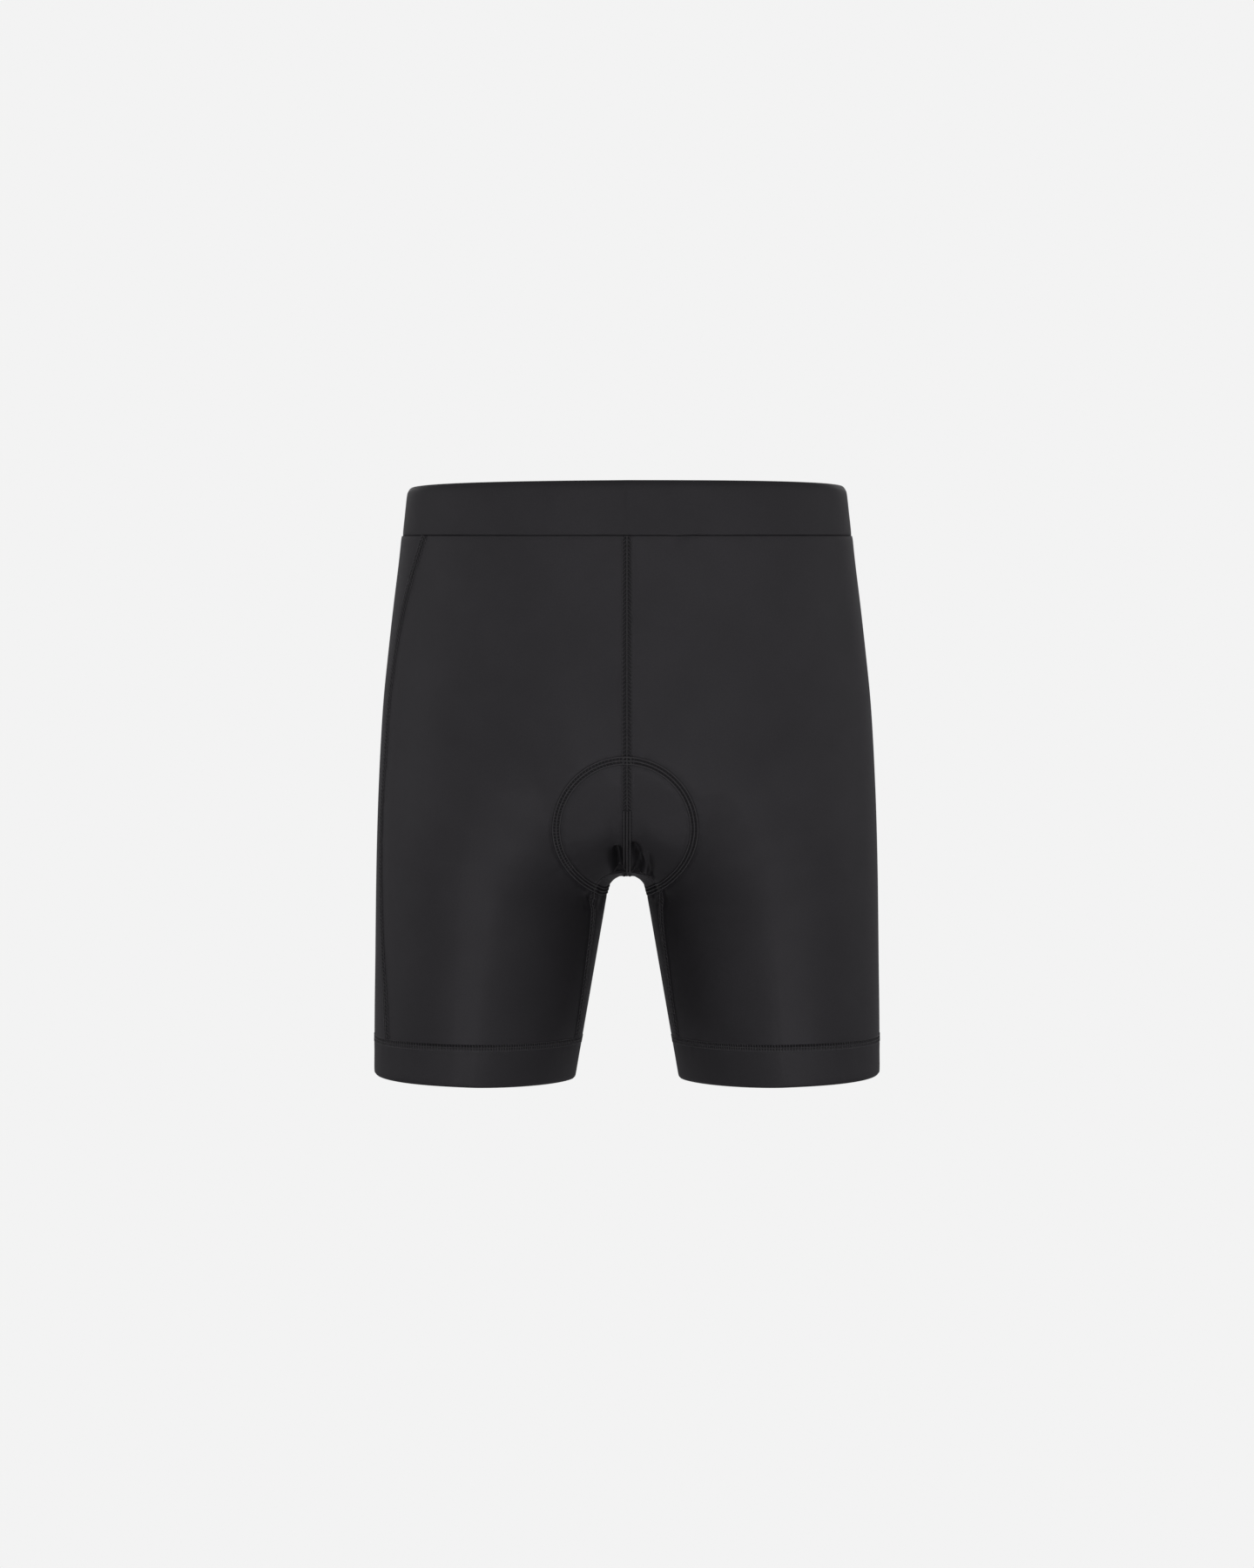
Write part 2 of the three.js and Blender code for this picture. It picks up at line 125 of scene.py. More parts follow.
# Waist and hems
TOP_TILT = 0.026
TOP_LEAN = 0.008
WAIST_SEAM_Z = -33.8
WAIST_SEAM_TILT = 0.0665
WAIST_SEAM_BACK_RISE = 1.3
HEM_EDGE = {"z": -413.5, "at_x": 179.0, "slope": 0.0433, "front_rise": 0.0, "back_rise": 0.0}
HEM_SEAM = {"z": -385.8, "at_x": 179.0, "slope": 0.0223, "front_rise": 1.0, "back_rise": 0.4}

# Folds and creases: troughs have depth, ridges a negative one. Seen from the front or the back.
FOLD_COLUMNS = ("face", "x", "z", "tilt", "length", "width", "depth")
FOLDS = (
    ("front", -6, -261.5, -9, 19, 3.2, 10.5),
    ("front", 7.2, -255.5, -24, 15, 2.2, 8),
    ("front", 8.2, -265, 26, 11, 2.3, 7),
    ("front", 16, -263.5, -10, 20, 1.7, 3.6),
    ("front", -8.5, -245, -8, 30, 5, 0.9),
    ("front", 9, -243, 6, 22, 4, 0.5),
    ("front", -24, -258, 0, 50, 17, -4.4),
    ("front", 25, -258, 0, 52, 18, -4.8),
    ("inner", -25.2, -290.5, -23, 13, 1.9, 1.7),
    ("inner", -29.5, -291, -14, 12, 1.9, 0.8),
    ("inner", -18, -293, 16, 12, 1.9, 1.2),
    ("inner", 26, -287, 3, 14, 1.9, 1),
    ("inner", 18, -290, 6, 10, 1.9, 0.8),
    ("front", -120, -322, 2, 230, 30, -2.7),
    ("front", 121, -322, -2, 230, 35, -2.1),
    ("front", 31, -46, 38, 24, 6, 0.55),
    ("front", 44, -44, 42, 20, 6, -0.35),
    ("front", -62, -42, -30, 16, 6, 0.25),
    ("front", 105, -95, 24, 46, 11, 0.35),
    ("front", -108, -120, -18, 60, 13, 0.3),
    ("front", 60, -225, 48, 56, 10, 0.5),
    ("front", -62, -232, -46, 50, 10, 0.5),
    ("back", 7.5, -226, -14, 26, 3, 1.9),
    ("back", -6.5, -232, 12, 22, 2.6, 1.7),
    ("back", 13, -250, -28, 18, 2.4, 1.5),
    ("back", -30, -262, 58, 34, 4.5, 1.3),
    ("back", 34, -266, -55, 30, 4.2, 1.2),
    ("back", 62, -278, -62, 66, 8.5, 1.5),
    ("back", -66, -284, 60, 62, 8.5, 1.3),
    ("back", 84, -292, -66, 58, 9.5, 1.1),
    ("back", -92, -300, 64, 50, 9, 0.9),
    ("back", 100, -340, -2, 130, 15, 1.2),
    ("back", -96, -344, 3, 130, 14, 1.1),
    ("back", 26, -47, 35, 22, 6, 0.55),
    ("back", -48, -48, -28, 24, 7, 0.5),
    ("back", -112, -110, -20, 70, 12, 0.6),
    ("back", 116, -150, 16, 80, 13, 0.5),
)
FOLD_FACING = {"front": (-30.0, -45.0), "inner": (2.0, -4.0), "back": (6.0, 22.0)}

# How finely the form is searched
RAY_STEP = 4.0
RAY_HALVINGS = 16
NORMAL_STEP = 0.4
SETTLE_PASSES = 4
EDGE_PASSES = 6
CURVE_STEP = 0.5
CENTRE_SEAM_END = CROTCH_Z + 2.0
TINY = 1e-9
MIRROR = np.array([-1.0, 1.0, 1.0])


def mix(a, b, t):
    return a + (b - a) * t


def smooth(t):
    t = np.clip(t, 0, 1)
    return t * t * (3 - 2 * t)


def fade(start, end, at):
    return smooth((at - start) / (end - start))


def curve_of(columns, rows, name):
    """One column of a table as a smooth function of height."""
    rows = sorted(rows)
    z = np.array([row[0] for row in rows], float)
    value = np.array([row[columns.index(name)] for row in rows], float)
    slope = np.gradient(value)
    slope[1:-1] = (value[2:] - value[:-2]) / (z[2:] - z[:-2])
    slope[0] = (value[1] - value[0]) / (z[1] - z[0])
    slope[-1] = (value[-1] - value[-2]) / (z[-1] - z[-2])

    def at(height):
        i = np.clip(np.searchsorted(z, height, side="right") - 1, 0, len(z) - 2)
        span = z[i + 1] - z[i]
        t = np.clip((height - z[i]) / span, 0, 1)
        start = t * (1 - t) ** 2 * span * slope[i]
        end = t * t * (t - 1) * span * slope[i + 1]
        return mix(value[i], value[i + 1], smooth(t)) + start + end

    return at


half_width_at = curve_of(FORM_COLUMNS, FORM, "half_width")
front_at = curve_of(FORM_COLUMNS, FORM, "front")
back_at = curve_of(FORM_COLUMNS, FORM, "back")
squareness_at = curve_of(FORM_COLUMNS, FORM, "squareness")
inseam_forward = curve_of(INSEAM_COLUMNS, INSEAM, "forward")


def leg_gap(z):
    return GAP_AT_CROTCH + GAP_SLOPE * (CROTCH_Z - z)


def leg_axis(z):
    return (half_width_at(z) + np.maximum(leg_gap(z), 0)) / 2


def leg_squareness(outer, forward, height):
    """Squareness of a leg's round, by the quarter of it."""
    slant = 1 - fade(SLANT_FULL, SLANT_NONE, height)
    inner_front = mix(LEG_INNER_SQUARENESS, LEG_INNER_FRONT_SQUARENESS, slant)
    inner = np.where(forward, inner_front, LEG_INNER_SQUARENESS)
    return np.where(outer, LEG_OUTER_SQUARENESS, inner)


def field(p):
    """The form: under 1 inside, 1 on the outer face of the cloth."""
    side, y, z = np.abs(p[..., 0]), p[..., 1], p[..., 2]
    half_width = half_width_at(z)
    depth = np.abs(y) / np.where(y < 0, front_at(z), back_at(z))
    n = squareness_at(z)
    seat = ((side / half_width) ** n + depth ** n) ** (1 / n)
    drop = np.maximum(CROTCH_Z + BOWL_HEIGHT - z, 0) / BOWL_HEIGHT
    bowl = (seat ** BOWL_ROUNDNESS + drop ** BOWL_ROUNDNESS) ** (1 / BOWL_ROUNDNESS)
    gap = leg_gap(z)
    middle = (half_width + gap) / 2
    across = np.abs(side - middle) / ((half_width - gap) / 2)
    height = z - CROTCH_Z
    m = leg_squareness(side > middle, y < 0, height)
    leg = (across ** m + depth ** m) ** (1 / m)
    body = mix(leg, seat, fade(LEGS_FULL, LEGS_NONE, height))
    roundness = FILLET * (1 - fade(FILLET_FULL_HEIGHT, FILLET_NONE_HEIGHT, height))
    roundness = roundness * (1 - fade(FILLET_FULL_X, FILLET_NONE_X, side))
    safe = np.maximum(roundness, TINY)
    near = np.maximum(roundness - np.abs(body - bowl), 0) / safe
    return np.minimum(body, bowl) - near * near * roundness / 4


def gradient(p):
    """Slope of the form's field, by central differences."""
    h = NORMAL_STEP
    steps = [np.array(step, float) for step in ((h, 0, 0), (0, h, 0), (0, 0, h))]
    return np.stack([(field(p + step) - field(p - step)) / (2 * h) for step in steps], -1)


def unit(v):
    return v / np.maximum(np.linalg.norm(v, axis=-1, keepdims=True), TINY)


def halved(start, along, near, far, passes):
    """The outer face along rays, between two distances."""
    for _ in range(passes):
        middle = (near + far) / 2
        inside = field(start + along * middle[:, None]) < 1
        near = np.where(inside, middle, near)
        far = np.where(inside, far, middle)
    return start + along * near[:, None]


def hit(start, along):
    """The first points of the cloth's outer face along rays from inside."""
    near = np.zeros(len(start))
    going = np.arange(len(start))
    while len(going):
        ahead = start[going] + along[going] * (near[going] + RAY_STEP)[:, None]
        going = going[field(ahead) < 1]
        near[going] += RAY_STEP
    return halved(start, along, near, near + RAY_STEP, RAY_HALVINGS)


def settle(p, passes=SETTLE_PASSES):
    """Points near the outer face, moved onto it."""
    for _ in range(passes):
        g = gradient(p)
        p = p - g * ((field(p) - 1) / np.maximum((g * g).sum(-1), TINY))[..., None]
    return p


def leg_hit(start, along):
    """The outer face of one leg along rays from inside it, also where the legs part by less than a step."""
    points = hit(start, along)
    over = points[:, 0] < 0
    start, along = start[over], along[over]
    points[over] = halved(start, along, np.zeros(len(start)), start[:, 0] / -along[:, 0], 2 * RAY_HALVINGS)
    return points


def one_way(x, y, z, along, find=hit):
    """Where rays that all run one way come through the outer face."""
    start = np.stack(np.broadcast_arrays(x, y, z), -1)
    return find(start, np.tile(along, (len(start), 1)))


def all_round(turn, z, axis_x, ahead, find):
    """Where rays at turns about an upright axis come through the outer face."""
    turn, z = np.broadcast_arrays(np.asarray(turn, float), np.asarray(z, float))
    height = z.ravel()
    zero = np.zeros_like(height)
    start = np.stack([zero + axis_x(height), zero, height], -1)
    along = np.stack([*ahead(turn.ravel()), zero], -1)
    return find(start, along).reshape(turn.shape + (3,))


def leg_point(turn, z):
    """A turn about the leg's axis: 0 at the outer side, a quarter in front, a half at the inner side."""
    return all_round(turn, z, leg_axis, lambda a: (np.cos(a), -np.sin(a)), leg_hit)


def waist_point(turn, z):
    """A turn about the body's middle, for the waistband."""
    return all_round(turn, z, np.zeros_like, lambda a: (np.sin(a), -np.cos(a)), hit)


def turn_of(p):
    return np.arctan2(-p[..., 1], p[..., 0] - leg_axis(p[..., 2]))


def on_edge(point_at, turn, height_at):
    """Points of a slanted edge, at turns."""
    turn = np.asarray(turn, float)
    p = point_at(turn, height_at(np.zeros(turn.shape + (3,))))
    for _ in range(EDGE_PASSES):
        p = point_at(turn, height_at(p))
    return p


def top_edge(p):
    return TOP_TILT * p[..., 1] + TOP_LEAN * np.minimum(p[..., 0], 0)


def waist_seam(p):
    y = p[..., 1]
    back = WAIST_SEAM_BACK_RISE * (1 - np.exp(-WAIST_SEAM_TILT * np.maximum(y, 0) / WAIST_SEAM_BACK_RISE))
    return WAIST_SEAM_Z + np.where(y < 0, WAIST_SEAM_TILT * y, back)


def slanted(edge, p):
    y = p[..., 1]
    z = np.full(y.shape, float(edge["z"]))
    rise = np.where(y < 0, edge["front_rise"], edge["back_rise"])
    depth = y / np.where(y < 0, front_at(z), back_at(z))
    return edge["z"] + edge["slope"] * (np.abs(p[..., 0]) - edge["at_x"]) + rise * depth * depth


def hem_edge(p):
    return slanted(HEM_EDGE, p)


def hem_seam(p):
    return slanted(HEM_SEAM, p)


def under_crotch(y):
    """Where the centre seam passes under, at a distance behind the middle."""
    return one_way(0.0, np.atleast_1d(y), CROTCH_Z + BOWL_HEIGHT, (0.0, 0.0, -1.0))


def centre_seam(direction, last_forward):
    """The centre seam in front (-1) or behind (1), from the waist down to a distance from the middle."""
    along = (0.0, direction, 0.0)
    top = one_way(0.0, 0.0, np.array([WAIST_SEAM_Z]), along)
    z = np.arange(float(waist_seam(top)[0]), CENTRE_SEAM_END, -CURVE_STEP)
    points = one_way(0.0, 0.0, z, along)
    points = points[np.abs(points[:, 1]) >= last_forward]
    return np.concatenate([points, under_crotch(direction * last_forward)])


def lengths_along(points):
    steps = np.linalg.norm(np.diff(points, axis=0), axis=1)
    return np.concatenate([[0.0], np.cumsum(steps)])


def at_lengths(points, wanted):
    """Points of a curve at distances from its start."""
    lengths = lengths_along(points)
    return np.stack([np.interp(wanted, lengths, points[:, k]) for k in range(3)], -1)


def paced(length, pace):
    """Distances from 0 to a length whose steps follow pace, a list of (distance, step)."""
    at = [place for place, _ in pace]
    step = [width for _, width in pace]
    marks = [0.0]
    while marks[-1] < length:
        marks.append(marks[-1] + float(np.interp(marks[-1], at, step)))
    marks = np.array(marks)
    return marks * (length / marks[-1])


def side_turns(name):
    """The side seam on one leg as a turn, by height."""
    forward_at = curve_of(SIDE_COLUMNS, SIDE_SEAM, name)

    def at(z):
        z = np.atleast_1d(z)
        return turn_of(one_way(leg_axis(z), -forward_at(z), z, (1.0, 0.0, 0.0)))

    return at


def inseam_turns(z):
    z = np.atleast_1d(z)
    return turn_of(one_way(leg_axis(z), -inseam_forward(z), z, (-1.0, 0.0, 0.0), leg_hit))


def hem_points(turn):
    return on_edge(leg_point, turn, hem_seam)


def top_height(turns):
    """The height at which a seam leaves the waist seam."""
    return on_edge(leg_point, turns(WAIST_SEAM_Z), waist_seam)[0, 2]


def hem_height(turns):
    """The height at which a seam meets the hem seam."""
    return hem_points(turns(HEM_SEAM["z"]))[0, 2]


def centre_rows(direction, last_forward, pace):
    """A grid's edge on the centre seam, and how far down the seam its rows lie."""
    seam = centre_seam(direction, last_forward)
    marks = paced(lengths_along(seam)[-1], pace)
    centre = at_lengths(seam, marks)
    centre[1:-1] = settle(centre[1:-1])
    return centre, marks


# Steps between grid lines, by distance in millimetres: fine at seams and round the ring of stitching
FRONT_COLUMN_PACE = ((0, 0.8), (4, 0.9), (8, 1.3), (58, 1.3), (80, 2.6), (175, 2.4), (190, 1.0))
FRONT_ROW_PACE = ((0, 0.7), (4, 0.9), (12, 2.4), (140, 2.4), (160, 1.3), (260, 1.3))
FRONT_LEG_PACE = ((0, 0.9), (30, 1.6), (50, 2.6), (106, 2.4), (112, 0.9), (120, 0.8))
SEAT_COLUMN_PACE = ((0, 0.9), (6, 1.2), (14, 2.6), (175, 2.6), (190, 1.0))
SEAT_ROW_PACE = ((0, 0.8), (4, 1.0), (12, 2.6), (190, 2.4), (260, 1.4), (320, 1.2))
PANEL_WIDTH = 190.0
FORK_STEP = 1.5
TOP_BLEND = 0.35
HEM_BLEND = 0.72
FORK_BLEND = 0.4


def blended_edges(z, top, bottom, down):
    """Rows that follow their top and bottom edges, and even out between."""
    share = down[:, None]
    upper = (top - z[0])[None] * (1 - fade(0.0, TOP_BLEND, share))
    lower = 0 if bottom is None else (bottom - z[-1])[None] * fade(HEM_BLEND, 1.0, share)
    return z + upper + lower


def front_grid(side_turn):
    """Front panel in one grid, from the centre seam and inseam to the side seam."""
    centre, marks = centre_rows(-1, CROSSING_FORWARD, FRONT_ROW_PACE)
    crossing = centre[-1]
    down = paced(crossing[2] - hem_height(inseam_turns), FRONT_LEG_PACE)[1:]
    z_in = np.concatenate([centre[:, 2], crossing[2] - down])
    turn_in = np.concatenate([turn_of(centre), inseam_turns(crossing[2] - down)])
    leg_share = down / down[-1]
    z_side = np.concatenate([
        mix(top_height(side_turn), SIDE_AT_CROTCH, marks / marks[-1]),
        mix(SIDE_AT_CROTCH, hem_height(side_turn), leg_share),
    ])
    columns = paced(PANEL_WIDTH, FRONT_COLUMN_PACE) / PANEL_WIDTH
    turn = mix(turn_in[:, None], side_turn(z_side)[:, None], columns)
    z = mix(z_in[:, None], z_side[:, None], smooth(columns))
    top = on_edge(leg_point, turn[0], waist_seam)
    hem = hem_points(turn[-1])
    rows_down = (z_side[0] - z_side) / (z_side[0] - z_side[-1])
    z = blended_edges(z, top[:, 2], hem[:, 2], rows_down)
    grid = leg_point(turn, z)
    grid[0] = top
    grid[-1] = hem
    grid[:len(centre), 0] = centre
    return grid


def back_grids(side_turn):
    """Back panel: a seat grid above the fork, and a leg grid whose first columns start under the crotch."""
    centre, marks = centre_rows(1, BACK_FORK, SEAT_ROW_PACE)
    z_side = mix(top_height(side_turn), SIDE_AT_CROTCH, marks / marks[-1])
    columns = paced(PANEL_WIDTH, SEAT_COLUMN_PACE) / PANEL_WIDTH
    turn = mix(turn_of(centre)[:, None], side_turn(z_side)[:, None], columns)
    z = mix(centre[:, 2][:, None], z_side[:, None], smooth(columns))
    top = on_edge(leg_point, turn[0], waist_seam)
    z = blended_edges(z, top[:, 2], None, marks / marks[-1])
    seat = leg_point(turn, z)
    seat[0] = top
    seat[:, 0] = centre

    count = round((CROSSING_FORWARD + BACK_FORK) / FORK_STEP)
    fork = under_crotch(np.linspace(-CROSSING_FORWARD, BACK_FORK, count + 1)[:-1])
    first = np.concatenate([fork, seat[-1]])
    turns = np.unwrap(turn_of(first))
    turns = turns + 2 * math.pi * (turns[0] < 0)
    around = (turns - turns[0]) / (turns[-1] - turns[0])
    down = paced(first[0, 2] - hem_height(inseam_turns), FRONT_LEG_PACE)
    share = down / down[-1]
    hem_turn = mix(inseam_turns(HEM_SEAM["z"])[0], side_turn(HEM_SEAM["z"])[0] + 2 * math.pi, around)
    hem = hem_points(hem_turn)

    def turn_at(height):
        flat = height.ravel()
        inner = inseam_turns(flat).reshape(height.shape)
        outer = side_turn(flat).reshape(height.shape) + 2 * math.pi
        return mix(inner, outer, around)

    z = mix(first[:, 2][None], hem[:, 2][None], share[:, None])
    start_shift = turns - turn_at(first[:, 2][None])[0]
    turn = turn_at(z) + start_shift * (1 - fade(0.0, FORK_BLEND, share))[:, None]
    leg = leg_point(turn, z)
    leg[0] = first
    leg[-1] = hem
    return [seat, leg]


def folds_at(p):
    """How far folds press the cloth in."""
    depth = np.zeros(p.shape[:-1])
    for row in FOLDS:
        fold = dict(zip(FOLD_COLUMNS, row))
        tilt = math.radians(fold["tilt"])
        dx = p[..., 0] - fold["x"]
        dz = p[..., 2] - fold["z"]
        along = dx * math.sin(tilt) + dz * math.cos(tilt)
        across = dx * math.cos(tilt) - dz * math.sin(tilt)
        reach = np.exp(-((2 * along / fold["length"]) ** 4) - (across / fold["width"]) ** 2)
        depth += fold["depth"] * reach * fade(*FOLD_FACING[fold["face"]], p[..., 1])
    return depth


# Seam lines
LINE_STEP = 0.5
INSEAM_START = 0.3
SIDE_SEAM_POINTS = 700
INSEAM_POINTS = 400
HEM_POINTS = 900


def evened(points, closed=False):
    """A line on the cloth with points at even steps."""
    if closed:
        points = np.concatenate([points, points[:1]])
    length = lengths_along(points)[-1]
    count = int(round(length / LINE_STEP))
    return at_lengths(points, np.linspace(0, length, count + 1))


def back_seam_line():
    """The centre-back seam, on under the crotch to where the four panels meet."""
    under = under_crotch(np.arange(BACK_FORK, -CROSSING_FORWARD, -CURVE_STEP))
    return evened(np.concatenate([centre_seam(1, BACK_FORK), under, under_crotch(-CROSSING_FORWARD)]))


def side_seam_line(name):
    side_turn = side_turns(name)
    z = np.linspace(top_height(side_turn), hem_height(side_turn), SIDE_SEAM_POINTS)
    return evened(leg_point(side_turn(z), z))


def inseam_line():
    crossing = under_crotch(-CROSSING_FORWARD)
    z = np.linspace(crossing[0, 2] - INSEAM_START, hem_height(inseam_turns), INSEAM_POINTS)
    return evened(np.concatenate([crossing, leg_point(inseam_turns(z), z)]))


def hem_line():
    return evened(hem_points(2 * math.pi * np.arange(HEM_POINTS) / HEM_POINTS), closed=True)


# The ring of stitching: a circle in front as the camera sees it, narrow under the crotch, a wide lobe behind
VIEW_DISTANCE = 2000.0
VIEW_HEIGHT = -166.8
SEEN_START_Y = -90.0
SEEN_PASSES = 8
RING_FRONT = {"x": -1.2, "z": -242.8, "radius": 49.3, "drop": 46.4}
RING_FRONT_END = 0.32  # radians from straight down, where the circle turns under
RING_FRONT_POINTS = 40
RING_REST_PASSES = 8
# x, y and z of its way from there to the middle of the back, on the wearer's left
RING_REST = (
    (14.8, 9, -284),
    (16.0, 25, -285.5),
    (20.0, 42, -286),
    (28.0, 58, -284),
    (40.0, 73, -277),
    (52.0, 86, -262),
    (59.0, 96, -240),
    (58.0, 106, -216),
    (47.0, 116, -193),
    (26.0, 121, -178),
    (0.0, 122, -173),
)
SPLINE_STEPS = 24


def rounded(rows, steps):
    """A closed line rounded through its rows, with a number of steps from each row to the next."""
    rows = np.array(rows, float)
    made = []
    for i, count in enumerate(steps):
        a, b, c, d = (rows[(i + k) % len(rows)] for k in (-1, 0, 1, 2))
        t = (np.arange(count) / count)[:, None]
        curve = 2 * b + (c - a) * t + (2 * a - 5 * b + 4 * c - d) * t ** 2 + (3 * b - a - 3 * c + d) * t ** 3
        made.append(curve / 2)
    return np.concatenate(made)


def seen_point(x, z):
    """The point of the front that shows at x and z in the plane of the side seams."""
    y = np.full(len(x), SEEN_START_Y)
    for _ in range(SEEN_PASSES):
        near = (VIEW_DISTANCE + y) / VIEW_DISTANCE
        p = one_way(x * near, 0.0, VIEW_HEIGHT + (z - VIEW_HEIGHT) * near, (0.0, -1.0, 0.0))
        y = p[:, 1]
    return p


def ring_front_point(around):
    """A point of the ring's front circle, by the angle from straight down towards the wearer's left."""
    down = np.where(np.cos(around) > 0, RING_FRONT["drop"], RING_FRONT["radius"])
    return seen_point(RING_FRONT["x"] + RING_FRONT["radius"] * np.sin(around),
                      RING_FRONT["z"] - down * np.cos(around))


def ring_line():
    around = np.linspace(RING_FRONT_END, 2 * math.pi - RING_FRONT_END, RING_FRONT_POINTS)
    left = settle(np.array(RING_REST, float), RING_REST_PASSES)
    points = np.concatenate([ring_front_point(around), left[:-1] * MIRROR, left[::-1]])
    return evened(settle(rounded(points, [SPLINE_STEPS] * len(points))), closed=True)


seam_lines = {
    "centre_front": evened(centre_seam(-1, CROSSING_FORWARD)),
    "centre_back": back_seam_line(),
    "side_left": side_seam_line("left"),
    "side_right": side_seam_line("right") * MIRROR,
    "inseam_left": inseam_line(),
    "hem_left": hem_line(),
    "ring": ring_line(),
}
seam_lines["inseam_right"] = seam_lines["inseam_left"] * MIRROR
seam_lines["hem_right"] = seam_lines["hem_left"] * MIRROR
FLAT_SEAMS = ("centre_front", "centre_back", "side_left", "side_right", "inseam_left", "inseam_right")
NEAR_SEAM = 14.0
POINTS_AT_ONCE = 3000


def nearest(points, line, within=NEAR_SEAM):
    """How far points lie from a line, up to a limit, and where along it."""
    away = np.full(len(points), float(within))
    along = np.zeros(len(points))
    low, high = line.min(0) - within, line.max(0) + within
    close = np.where(((points > low) & (points < high)).all(1))[0]
    marks = lengths_along(line)
    tangent = unit(np.gradient(line, axis=0))
    for start in range(0, len(close), POINTS_AT_ONCE):
        some = close[start:start + POINTS_AT_ONCE]
        here = points[some]
        square = (here * here).sum(1)[:, None] + (line * line).sum(1)[None] - 2 * here @ line.T
        k = square.argmin(1)
        offset = here - line[k]
        shift = np.clip((offset * tangent[k]).sum(1), -LINE_STEP, LINE_STEP)
        away[some] = np.minimum(np.linalg.norm(offset - tangent[k] * shift[:, None], axis=1), within)
        along[some] = marks[k] + shift
    return away, along


def nearest_of(points, names):
    """The nearest of several seams: how far, and where along it."""
    away = np.full(len(points), NEAR_SEAM)
    along = np.zeros(len(points))
    for name in names:
        there, place = nearest(points, seam_lines[name])
        closer = there < away
        away = np.where(closer, there, away)
        along = np.where(closer, place, along)
    return away, along


# Relief of a flatlock seam, the ring and the panel edges
FLAT_HALF = 3.1
FLAT_LIFT = 0.38
FLAT_SHOULDER = 0.9
FLAT_DIP = {"beside": 1.6, "width": 1.5, "depth": 0.2}
RING_HALF = 3.3
RING_EDGE = 0.6
RING_SINK = 0.12
RING_SHOULDER = 2.6
RING_GROOVE = {"width": 0.7, "depth": 0.62}
PUCKER_DEPTH = 0.10
PUCKER_REACH = 9.0
PUCKER_FADE = (2.4, 4.4)
RING_PUCKER = {"strength": 1.3, "start": 40.0}
WAIST_ROLL = 0.24
WAIST_ROLL_REACH = 1.6
HEM_ROLL = 0.08
HEM_ROLL_REACH = 1.4
HEM_PRESS = {"down": 2.6, "reach": 2.4, "depth": 0.12}
HEM_WAVE = {"down": 6.0, "reach": 5.0, "height": 0.06}
WAISTBAND_WAVE = {"height": 0.22, "at_top": 0.35, "reach": 16.0}

# Uneven waves: how fast each runs, its share and its start
PUCKER_WAVES = ((1 / 1.9, 1.0, 0.0), (1 / 1.27, 0.7, 1.1), (1 / 3.4, 0.9, 0.4))
PUCKER_SWELL = ((1 / 23.0, 0.4, 0.0),)
WAISTBAND_WAVES = ((9, 0.5, 0.6), (23, 0.35, 1.9), (14, 0.3, 0.0))
HEM_WAVES = ((41, 1.0, 0.0), (67, 0.8, 0.7), (17, 0.6, 2.0))


def waves(rows, at):
    return sum(share * np.sin(rate * at + start) for rate, share, start in rows)


def hump(away, reach):
    """1 at a line, falling to 0 beyond its reach."""
    return np.exp(-(away / reach) ** 2)


def pucker(along, away):
    """Small uneven waves that a stitched line draws into the cloth beside it."""
    wave = waves(PUCKER_WAVES, along) * (0.6 + waves(PUCKER_SWELL, along))
    return PUCKER_DEPTH * wave * hump(away, PUCKER_REACH) * fade(*PUCKER_FADE, away)


def relief(p):
    """How far the cloth stands out from the form."""
    away, along = nearest_of(p, FLAT_SEAMS)
    lift = FLAT_LIFT * (1 - smooth((away - FLAT_HALF + FLAT_SHOULDER / 2) / FLAT_SHOULDER))
    lift -= FLAT_DIP["depth"] * hump(away - FLAT_HALF - FLAT_DIP["beside"], FLAT_DIP["width"])
    lift += pucker(along, away)
    ring_away, ring_along = nearest(p, seam_lines["ring"])
    lift -= RING_SINK * (1 - smooth((ring_away - RING_HALF + RING_EDGE) / RING_SHOULDER))
    lift -= RING_GROOVE["depth"] * hump(ring_away - RING_HALF, RING_GROOVE["width"])
    lift += RING_PUCKER["strength"] * pucker(ring_along + RING_PUCKER["start"], ring_away)
    lift -= WAIST_ROLL * hump(waist_seam(p) - p[:, 2], WAIST_ROLL_REACH)
    lift -= HEM_ROLL * hump(p[:, 2] - hem_seam(p), HEM_ROLL_REACH)
    return lift - folds_at(p)


# Meshes

CELLS_PER_MM = 1000


def sheet_of(grids, forward):
    """Grids as one open sheet: points and quads, with points that coincide shared."""
    points = np.concatenate([grid.reshape(-1, 3) for grid in grids])
    cells = np.round(points * CELLS_PER_MM).astype(np.int64)
    _, first, same = np.unique(cells, axis=0, return_index=True, return_inverse=True)
    same = same.ravel()
    quads = []
    start = 0
    for grid in grids:
        rows, columns = grid.shape[:2]
        index = same[start:start + rows * columns].reshape(rows, columns)
        start += rows * columns
        a, b = index[:-1, :-1].ravel(), index[:-1, 1:].ravel()
        c, d = index[1:, 1:].ravel(), index[1:, :-1].ravel()
        quads.append(np.stack([a, b, c, d] if forward else [a, d, c, b], -1))
    return points[first], np.concatenate(quads), first


def open_edges(quads):
    """Directed edges that no other face shares."""
    edges = np.concatenate([quads[:, [k, (k + 1) % 4]] for k in range(4)])
    edges = edges[edges[:, 0] != edges[:, 1]]
    size = int(quads.max()) + 1
    there = edges[:, 0].astype(np.int64) * size + edges[:, 1]
    back = edges[:, 1].astype(np.int64) * size + edges[:, 0]
    return edges[~np.isin(there, back)]


